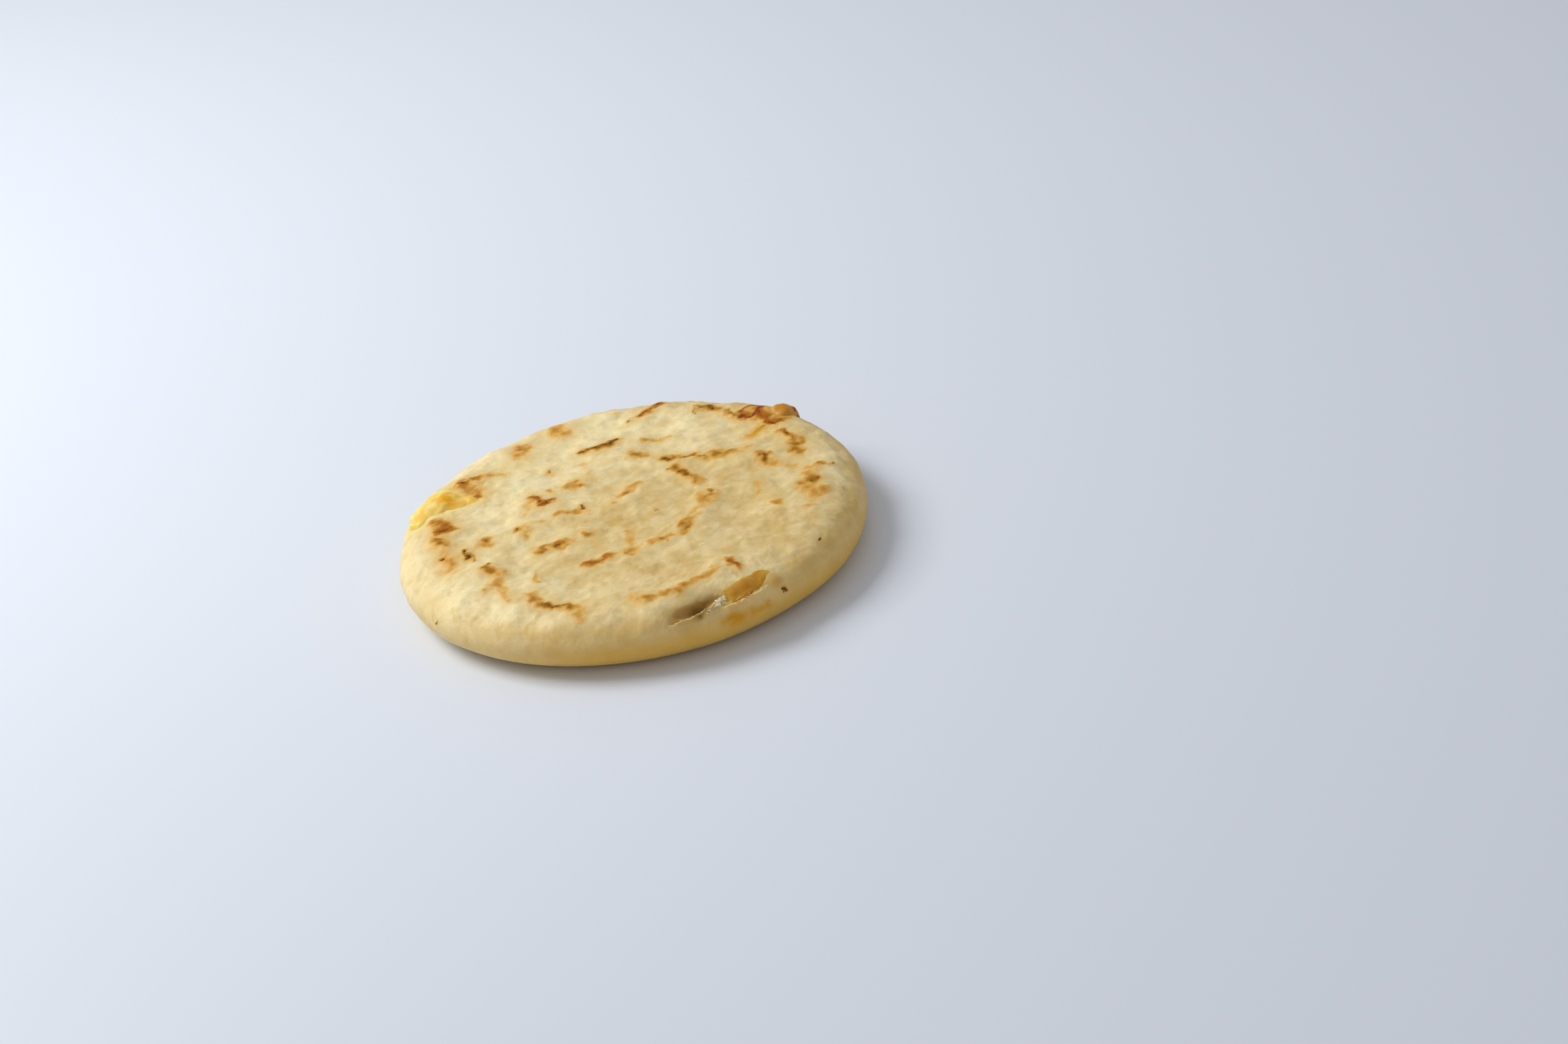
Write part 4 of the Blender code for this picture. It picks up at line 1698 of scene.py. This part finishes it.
@dataclass
class MasaDough:
    """The cooked corn dough, from its round body to its torn lips and its marks.

    The shape's ramps give the height where something starts and how far above it is full. In plan,
    in millimetres, are slope_edge and slope_side, where the smoothed slope at the crevice ends, and
    lip_fray and lip_fray_length, which make the folds ragged.
    """

    form: CakeForm
    filling: FillingForm
    browning: Browning
    finish: DoughFinish
    steps_round: int = 160
    body_voxel: float = 0.00110
    fine_above: float = 0.0035
    finest: tuple[FineArea, ...] = (
        FineArea(17.0, -54.0, 17.0),
        FineArea(-47.0, 21.0, 14.0),
        FineArea(40.0, 31.0, 11.0),
    )
    upper_ramp: Range = (0.002, 0.006)
    top_ramp: Range = (0.011, 0.0025)
    marks_ramp: Range = (0.004, 0.004)
    rim_share: float = 0.35
    hollows: Relief = Relief(0.00050, 0.0078, 2.0, 0.00030, 0.0039, 9.0)
    wrinkles: Relief = Relief(0.00023, 0.0026, 4.0, 0.000115, 0.0013, 6.0)
    strands: Strands = Strands()
    fold_length: float = 0.0060
    fold_reach: float = 0.0026
    fold_starts: tuple[float, ...] = (1.0, 21.0, 41.0)
    lip_fray: float = 0.35
    lip_fray_length: float = 1.1
    tear_reach: float = 0.016
    lip_width: float = 0.0011
    lip_rounds: int = 6
    soak_reach: float = 0.0013
    slit_soak: float = 0.3
    slope_reach: float = 0.0075
    slope_edge: float = 57.4
    slope_side: float = 16.0
    slope_front: float = -0.045
    slope_rounds: int = 26
    smoothing: float = 0.5

    def round_body(self) -> bpy.types.Object:
        """Draw a disc up into the cake: extruded and widened or narrowed ring by ring.

        Returns:
            The plain round body.
        """
        deselect_all()
        stations = self.form.stations()
        first_out = stations[0][0]
        bpy.ops.mesh.primitive_circle_add(vertices=self.steps_round, radius=first_out, fill_type="NGON")
        cake = name_new("masa_dough_cooked")
        bpy.ops.object.mode_set(mode="EDIT")
        bpy.ops.mesh.select_all(action="SELECT")
        for (below_out, below), (out, height) in zip(stations, stations[1:]):
            bpy.ops.mesh.extrude_region_move(TRANSFORM_OT_translate={"value": (0, 0, height - below)})
            share = out / below_out
            bpy.ops.transform.resize(value=(share, share, 1), center_override=(0, 0, height))
        bpy.ops.mesh.select_all(action="SELECT")
        bpy.ops.mesh.normals_make_consistent(inside=False)
        bpy.ops.object.mode_set(mode="OBJECT")
        return cake

    def refine(self, cake: bpy.types.Object) -> None:
        """Cover the cake with an even fine mesh, finer where it is seen.

        Args:
            cake: the plain round body.
        """
        apply_step(cake, "REMESH", mode="VOXEL", voxel_size=self.body_voxel)
        move_points(cake, self.form.settle(points_of(cake)))
        self.subdivide(cake, points_of(cake)[:, 2] > self.fine_above)
        plan = self.form.unrolled(points_of(cake))
        near = np.zeros(len(plan), bool)
        for area in self.finest:
            near |= np.hypot(plan[:, 0] - area.x, plan[:, 1] - area.y) < area.reach
        self.subdivide(cake, near & (points_of(cake)[:, 2] > self.fine_above))

    def subdivide(self, cake: bpy.types.Object, chosen: np.ndarray) -> None:
        """Halve the faces between chosen vertices, and draw the new ones onto the round body.

        Args:
            cake: the plain round body.
            chosen: true for each vertex of those faces.
        """
        pick(cake)
        select_points(cake, chosen)
        bpy.ops.object.mode_set(mode="EDIT")
        bpy.ops.mesh.subdivide(number_cuts=1)
        bpy.ops.object.mode_set(mode="OBJECT")
        move_points(cake, self.form.settle(points_of(cake)))

    def skin(self, plain: np.ndarray) -> np.ndarray:
        """Find the uneven, wrinkled surface of hand-patted dough.

        Args:
            plain: one row of three coordinates for each place on the plain body.

        Returns:
            The same places on the dough's skin.
        """
        facing = self.form.normals(plain)
        plan = self.form.unrolled(plain)
        upper = ramp(plain[:, 2], *self.upper_ramp)
        top = ramp(plain[:, 2], *self.top_ramp)
        folded = self.folded(plain)
        uneven = self.hollows.at(plain) + self.wrinkles.at(folded)
        threads = self.strands.at(folded) * self.strands.shown(plan)
        height = self.browning.ridges(plan) * top
        height += uneven * upper * (self.rim_share + (1 - self.rim_share) * top)
        height += threads * upper * (self.strands.rim_share + (1 - self.strands.rim_share) * top)
        ragged = self.browning.shaken(plan, self.lip_fray, self.lip_fray_length)
        for fold in FOLDS:
            height += fold.height(ragged)
        return self.form.swollen(plain) + facing * height[:, None]

    def rise(self, points: np.ndarray) -> np.ndarray:
        """Measure how far points stand out of the skin, less than nothing below it."""
        plain = self.form.settle(points)
        return np.sum((points - self.skin(plain)) * self.form.normals(plain), axis=1)

    def folded(self, points: np.ndarray) -> np.ndarray:
        """Shift places by a slow pattern, so that another pattern on them curls like kneaded dough."""
        shifts = [wander(points, self.fold_length, start) for start in self.fold_starts]
        return points + self.fold_reach * np.column_stack(shifts)

    def tear(self, cake: bpy.types.Object) -> None:
        """Cut the filling's space, the tears and the crevice, round their lips and soak them.

        Args:
            cake: the wrinkled body.
        """
        whole = skin_of(cake)
        space = self.filling.space()
        wet = skin_of(space)
        combine(space, self.filling.blob(CREVICE, 0.0, 0.0, CREVICE.fullness), "UNION")
        cutter = skin_of(space)
        combine(cake, space, "DIFFERENCE")
        points = points_of(cake)
        plan = self.form.unrolled(points)
        lips = np.zeros(len(points), bool)
        slope = np.zeros(len(points), bool)
        soak = np.zeros(len(points))
        crevice = np.array(CREVICE.place().translation)
        tears = [np.array(lobe.place().translation) for lobe in (*LOBES, CREVICE)]
        for index, point in enumerate(points):
            if min(np.linalg.norm(point - tear) for tear in tears) < self.tear_reach:
                outside = whole.find_nearest(point)[3]
                inside = cutter.find_nearest(point)[3]
                lips[index] = outside < self.lip_width and inside < self.lip_width
                slope[index] = lips[index] or np.linalg.norm(point - crevice) < self.slope_reach
                soak[index] = bump_curve(wet.find_nearest(point)[3], self.soak_reach)
        keep_values(cake, "soak", np.where(points[:, 1] < 0, self.slit_soak, 1.0) * soak)
        slope &= (points[:, 2] > self.fine_above) & (np.hypot(plan[:, 0], plan[:, 1]) < self.slope_edge)
        slope &= (points[:, 1] < self.slope_front) & (plan[:, 0] < self.slope_side)
        smooth_where(cake, lips, self.smoothing, self.lip_rounds)
        smooth_where(cake, slope, self.smoothing, self.slope_rounds)

    def build(self) -> bpy.types.Object:
        """Make the dough and dress it.

        Returns:
            The finished piece.
        """
        cake = self.round_body()
        self.refine(cake)
        move_points(cake, self.skin(points_of(cake)))
        self.tear(cake)
        points = points_of(cake)
        self.browning.paint(cake, self.form.unrolled(points), ramp(points[:, 2], *self.marks_ramp))
        dress(cake, self.finish.material())
        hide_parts("masa_dough")
        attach(cake, "root")
        return cake


@dataclass(frozen=True)
class Spot:
    """A browned, deep yellow, fatty or thin spot of the filling: its place, reach and strength. The deep
    yellow of the slit is painted shade, and the fat on the burst's left is partly a painted highlight.
    """

    kind: SpotKind
    place: Place
    reach: float
    amount: float


SPOTS = (
    Spot(SpotKind.SCORCHED, (0.0495, 0.0305, 0.0140), 0.0034, 1.0),
    Spot(SpotKind.SCORCHED, (0.0480, 0.0325, 0.0162), 0.0026, 0.6),
    Spot(SpotKind.SCORCHED, (0.0475, 0.0350, 0.0130), 0.0024, 0.8),
    Spot(SpotKind.SCORCHED, (0.0415, 0.0280, 0.0155), 0.0018, 0.7),
    Spot(SpotKind.SCORCHED, (0.0410, 0.0340, 0.0155), 0.0022, 0.40),
    Spot(SpotKind.SCORCHED, (-0.0400, 0.0230, 0.0155), 0.0020, 0.45),
    # Painted shade: the slit's recessed cheese made a deeper yellow
    Spot(SpotKind.RICH_AND_SHADED, (0.0236, -0.0510, 0.0130), 0.0095, 1.0),
    Spot(SpotKind.RICH_AND_SHADED, (0.0375, 0.0245, 0.0150), 0.0050, 0.8),
    Spot(SpotKind.RICH_AND_SHADED, (0.0440, 0.0310, 0.0160), 0.0085, 1.0),
    Spot(SpotKind.RICH_AND_SHADED, (-0.0440, 0.0185, 0.0155), 0.0034, 0.50),
    Spot(SpotKind.RICH_AND_SHADED, (-0.0490, 0.0148, 0.0150), 0.0018, 0.45),
    # Partly painted highlight: the burst paler on its lit left side
    Spot(SpotKind.FAT_AND_HIGHLIGHT, (-0.0495, 0.0180, 0.0155), 0.0020, 0.9),
    Spot(SpotKind.FAT_AND_HIGHLIGHT, (-0.0530, 0.0205, 0.0135), 0.0034, 0.6),
    Spot(SpotKind.THIN, (0.0392, 0.0330, 0.0150), 0.0032, 0.7),
    Spot(SpotKind.THIN, (0.0180, -0.0505, 0.0145), 0.0019, 0.7),
    Spot(SpotKind.THIN, (0.0205, -0.0495, 0.0145), 0.0018, 0.7),
    Spot(SpotKind.THIN, (0.0232, -0.0482, 0.0145), 0.0015, 0.6),
    Spot(SpotKind.FAT_AND_HIGHLIGHT, (-0.0470, 0.0250, 0.0150), 0.0030, 0.4),
)


@dataclass
class CheeseFilling:
    """The cheese: its flat body inside the dough and the lobes that burst out.

    In plan, in millimetres, are crack_reach, which is how far round its middle the crack's cheese
    is level, and slit_middle, which is the slit's distance from the centre.
    """

    dough: MasaDough
    finish: CheeseFinish
    lobe_voxel: float = 0.00036
    smoothing: float = 0.5
    rounds: int = 16
    ripples: Relief = Relief(0.00028, 0.0024, 5.0, 0.00009, 0.0011, 8.0)
    swell: float = 0.00080
    bubble_rise: float = 0.00050
    crack_reach: float = 5.5
    slit_fullness: float = 3.6
    slit_middle: float = 55.2
    slit_slope: float = 0.00010
    slit_step: float = 0.00014
    film: float = 0.00090

    def tongue(self, lobe: Lobe) -> bpy.types.Object:
        """Make one lobe, swollen past its tear's sides, and full where the tear is a slit.

        Args:
            lobe: the lobe as the solid has it.

        Returns:
            The lobe as it swells.
        """
        fullness = self.slit_fullness if lobe.opening else lobe.fullness
        higher = self.bubble_rise if lobe is FAR_BUBBLE else 0.0
        return self.dough.filling.blob(lobe, self.swell, higher, fullness)

    def level_slits(self, lobes: bpy.types.Object) -> None:
        """Press the tongues in the slit and the crack down to the dough's surface.

        Args:
            lobes: the joined lobes.
        """
        cake = self.dough.form
        points = points_of(lobes)
        plan = cake.unrolled(points)
        inwards = self.slit_middle - np.hypot(plan[:, 0], plan[:, 1])
        level = np.clip(inwards * self.slit_slope, -self.slit_step, self.slit_step)
        crack = cake.unrolled(np.array([FAR_CRACK.place().translation]))[0]
        in_crack = np.hypot(*(plan - crack).T) < self.crack_reach
        level = np.where(in_crack, -self.slit_step / 2, level)
        over = np.maximum(self.dough.rise(points) - level, 0.0) * (in_crack | (points[:, 1] < 0))
        move_points(lobes, points - cake.normals(cake.settle(points)) * over[:, None])

    def build(self) -> bpy.types.Object:
        """Make the cheese and dress it.

        Returns:
            The finished piece.
        """
        lobes = [self.tongue(lobe) for lobe in LOBES]
        burst = lobes[0]
        join_to(burst, lobes[1:])
        apply_step(burst, "REMESH", mode="VOXEL", voxel_size=self.lobe_voxel)
        smooth_where(burst, np.ones(len(burst.data.vertices), bool), self.smoothing, self.rounds)
        push_out(burst, self.ripples.at(points_of(burst)))
        self.level_slits(burst)
        cheese = self.dough.filling.round_body("cheese_melted", 0.0)
        combine(cheese, burst, "UNION")
        self.paint(cheese)
        dress(cheese, self.finish.material())
        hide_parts("cheese_filling")
        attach(cheese, "root")
        return cheese

    def paint(self, cheese: bpy.types.Object) -> None:
        """Store the cheese's spots as attributes, thin too where the burst leaves only a film.

        Args:
            cheese: the whole cheese.
        """
        points = points_of(cheese)
        film = np.clip(1 - self.dough.rise(points) / self.film, 0.0, 1.0) * (points[:, 0] < 0)
        for kind in SpotKind:
            clear = 1 - film if kind is SpotKind.THIN else np.ones(len(points))
            for spot in SPOTS:
                if spot.kind is kind:
                    away = np.linalg.norm(points - np.array(spot.place), axis=1)
                    clear *= 1 - spot.amount * bump_curve(away, spot.reach)
            keep_values(cheese, kind.value, 1 - clear)


@dataclass(frozen=True)
class CrumbRow:
    """Crumbs strewn along a path: how many, their least and largest size, how far they stray.

    The sizes are in millimetres, and so are the spread and the path, which are in plan.
    """

    count: int
    smallest: float
    largest: float
    spread: float
    path: tuple[Point, ...]


CRUMB_ROWS = (
    CrumbRow(80, 0.16, 0.36, 0.55, ((15.2, -55.6), (16.6, -54.4), (17.6, -53.4))),
    CrumbRow(16, 0.16, 0.32, 0.40, ((12.0, -57.3), (14.2, -56.7), (16.0, -56.4))),
    CrumbRow(20, 0.16, 0.32, 0.25, ((5.0, -59.2), (9.0, -58.3), (12.5, -56.9))),
    CrumbRow(30, 0.14, 0.26, 0.16, ((19.3, -56.0), (24.0, -54.1), (28.4, -50.9))),
)


@dataclass
class CreviceCrumbs:
    """Moist crumbs on the outer lips of the crevice and the slit."""

    cake: CakeForm
    finish: CrumbFinish
    seed: int = 11
    sunk_share: float = 0.30
    stretch: Range = (0.75, 1.25)
    voxel: float = 0.00014
    rough_height: float = 0.00012
    rough_length: float = 0.0007
    rough_start: float = 3.0

    def build(self) -> bpy.types.Object:
        """Strew the crumbs over the dough's lips and melt each heap into one.

        Returns:
            The finished piece.
        """
        skin = skin_of(bpy.data.objects["masa_dough_cooked"])
        chance = np.random.default_rng(self.seed)
        crumbs = []
        for row in CRUMB_ROWS:
            stops = np.array(row.path)
            along = np.linspace(0, len(stops) - 1, row.count)
            places = np.column_stack([np.interp(along, range(len(stops)), part) for part in stops.T])
            places += chance.normal(0.0, row.spread, places.shape)
            sizes = chance.uniform(row.smallest, row.largest, row.count) * MM
            for point, size in zip(self.cake.rolled(places), sizes):
                foot, facing = skin.find_nearest(point)[:2]
                sizes_along = chance.uniform(*self.stretch, 3) * size
                centre = foot - facing * float(size) * self.sunk_share
                crumbs.append(self.crumb(centre, sizes_along, chance.uniform(0, pi)))
        heap = crumbs[0]
        join_to(heap, crumbs[1:])
        heap.name = heap.data.name = "crevice_crumbs"
        apply_step(heap, "REMESH", mode="VOXEL", voxel_size=self.voxel)
        push_out(heap, self.rough_height * wander(points_of(heap), self.rough_length, self.rough_start))
        dress(heap, self.finish.material())
        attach(heap, "root")
        return heap

    def crumb(self, place: Vector, sizes: np.ndarray, turn: float) -> bpy.types.Object:
        """Make one crumb: a flattened, turned pebble.

        Args:
            place: its centre.
            sizes: its semi-axes.
            turn: its turn about the Z axis.

        Returns:
            The crumb.
        """
        deselect_all()
        bpy.ops.mesh.primitive_ico_sphere_add(subdivisions=2, radius=1.0, rotation=(0.0, 0.0, turn))
        pebble = name_new("crumb")
        pebble.scale = sizes
        pebble.location = place
        bpy.ops.object.transform_apply(location=True, rotation=True, scale=True)
        return pebble


# The studio


@dataclass(frozen=True)
class Lamp:
    """A square soft light that faces a point."""

    name: str
    place: Place
    aim: Place
    size: float
    power: float
    colour: tuple[float, float, float]

    def hang(self) -> None:
        """Put the light in the scene."""
        deselect_all()
        bpy.ops.object.light_add(type="AREA", location=self.place)
        lamp = name_new(self.name)
        lamp.data.size = self.size
        lamp.data.energy = self.power
        lamp.data.color = self.colour
        facing = Vector(self.aim) - Vector(self.place)
        lamp.rotation_euler = facing.to_track_quat("-Z", "Y").to_euler()


@dataclass(frozen=True)
class Studio:
    """Pale floor, soft light from the far left, and the camera at the photograph's angle.

    The lens and the sensor are in millimetres, and the elevation and the roll in degrees.
    """

    floor_finish: FloorFinish
    floor_radius: float = 3.0
    floor_sides: int = 128
    lamps: tuple[Lamp, ...] = (
        Lamp("key_light", (-0.51, 0.28, 0.60), (0.0, 0.0, 0.0), 0.46, 5.2, (1.0, 0.985, 0.955)),
        Lamp("front_fill", (0.10, -1.50, 1.00), (0.0, 0.0, 0.0), 1.00, 2.1, (1.0, 0.94, 0.86)),
    )
    sky: Colour = (0.97, 0.98, 1.0, 1.0)
    sky_strength: float = 0.38
    image_size: tuple[int, int] = (2354, 1568)
    lens: float = 85.0
    sensor: float = 36.0
    elevation: float = 28.48
    roll: float = -11.70
    distance: float = 0.9368
    centre_pixel: Point = (951.0, 793.9)
    centre_height: float = 0.0075

    def lay_floor(self) -> bpy.types.Object:
        """Make the floor.

        Returns:
            The floor.
        """
        deselect_all()
        sheet = {"vertices": self.floor_sides, "radius": self.floor_radius}
        bpy.ops.mesh.primitive_circle_add(fill_type="NGON", **sheet)
        floor = name_new("floor_sheet")
        floor.data.materials.append(self.floor_finish.material())
        return floor

    def set_camera(self) -> None:
        """Aim the camera so that the cake's centre falls on its place in the photograph."""
        width, height = self.image_size
        focal = self.lens / self.sensor * width
        rise = radians(self.elevation)
        back = Vector((0, -cos(rise), sin(rise)))
        across = Vector((1, 0, 0))
        upright = back.cross(across)
        turn = radians(self.roll)
        right = cos(turn) * across + sin(turn) * upright
        above = cos(turn) * upright - sin(turn) * across
        column, row = self.centre_pixel
        sight = Vector(((column - width / 2) / focal, (height / 2 - row) / focal, -1)).normalized()
        swing = Vector((0, 0, -1)).rotation_difference(sight).to_matrix()
        axes = swing @ Matrix((right, above, back))
        deselect_all()
        bpy.ops.object.camera_add()
        camera = name_new("photo_camera")
        camera.data.lens = self.lens
        camera.data.sensor_width = self.sensor
        centre = Vector((0, 0, self.centre_height))
        camera.matrix_world = Matrix.Translation(centre + back * self.distance) @ axes.transposed().to_4x4()
        bpy.context.scene.camera = camera

    def light(self) -> None:
        """Hang the lamps and set the sky."""
        for lamp in self.lamps:
            lamp.hang()
        world = bpy.data.worlds.new("soft_sky")
        world.use_nodes = True
        sky = world.node_tree.nodes["Background"]
        sky.inputs["Color"].default_value = self.sky
        sky.inputs["Strength"].default_value = self.sky_strength
        scene = bpy.context.scene
        scene.world = world
        scene.view_settings.view_transform = "Standard"
        scene.view_settings.look = "None"

    def build(self) -> bpy.types.Object:
        """Set up the camera, the light and the floor.

        Returns:
            The floor.
        """
        self.set_camera()
        self.light()
        return self.lay_floor()


def main() -> None:
    """Build every piece in order."""
    logging.basicConfig(level=logging.INFO, format="%(message)s")
    cake = CakeForm()
    filling = FillingForm()
    dough = MasaDough(cake, filling, Browning(), DoughFinish())
    makers = (
        Studio(FloorFinish()),
        CheeseFilling(dough, CheeseFinish()),
        dough,
        CreviceCrumbs(cake, CrumbFinish()),
    )
    for maker in makers:
        piece = maker.build()
        LOG.info("%s: %d faces", piece.name, len(piece.data.polygons))


if __name__ == "__main__":
    main()
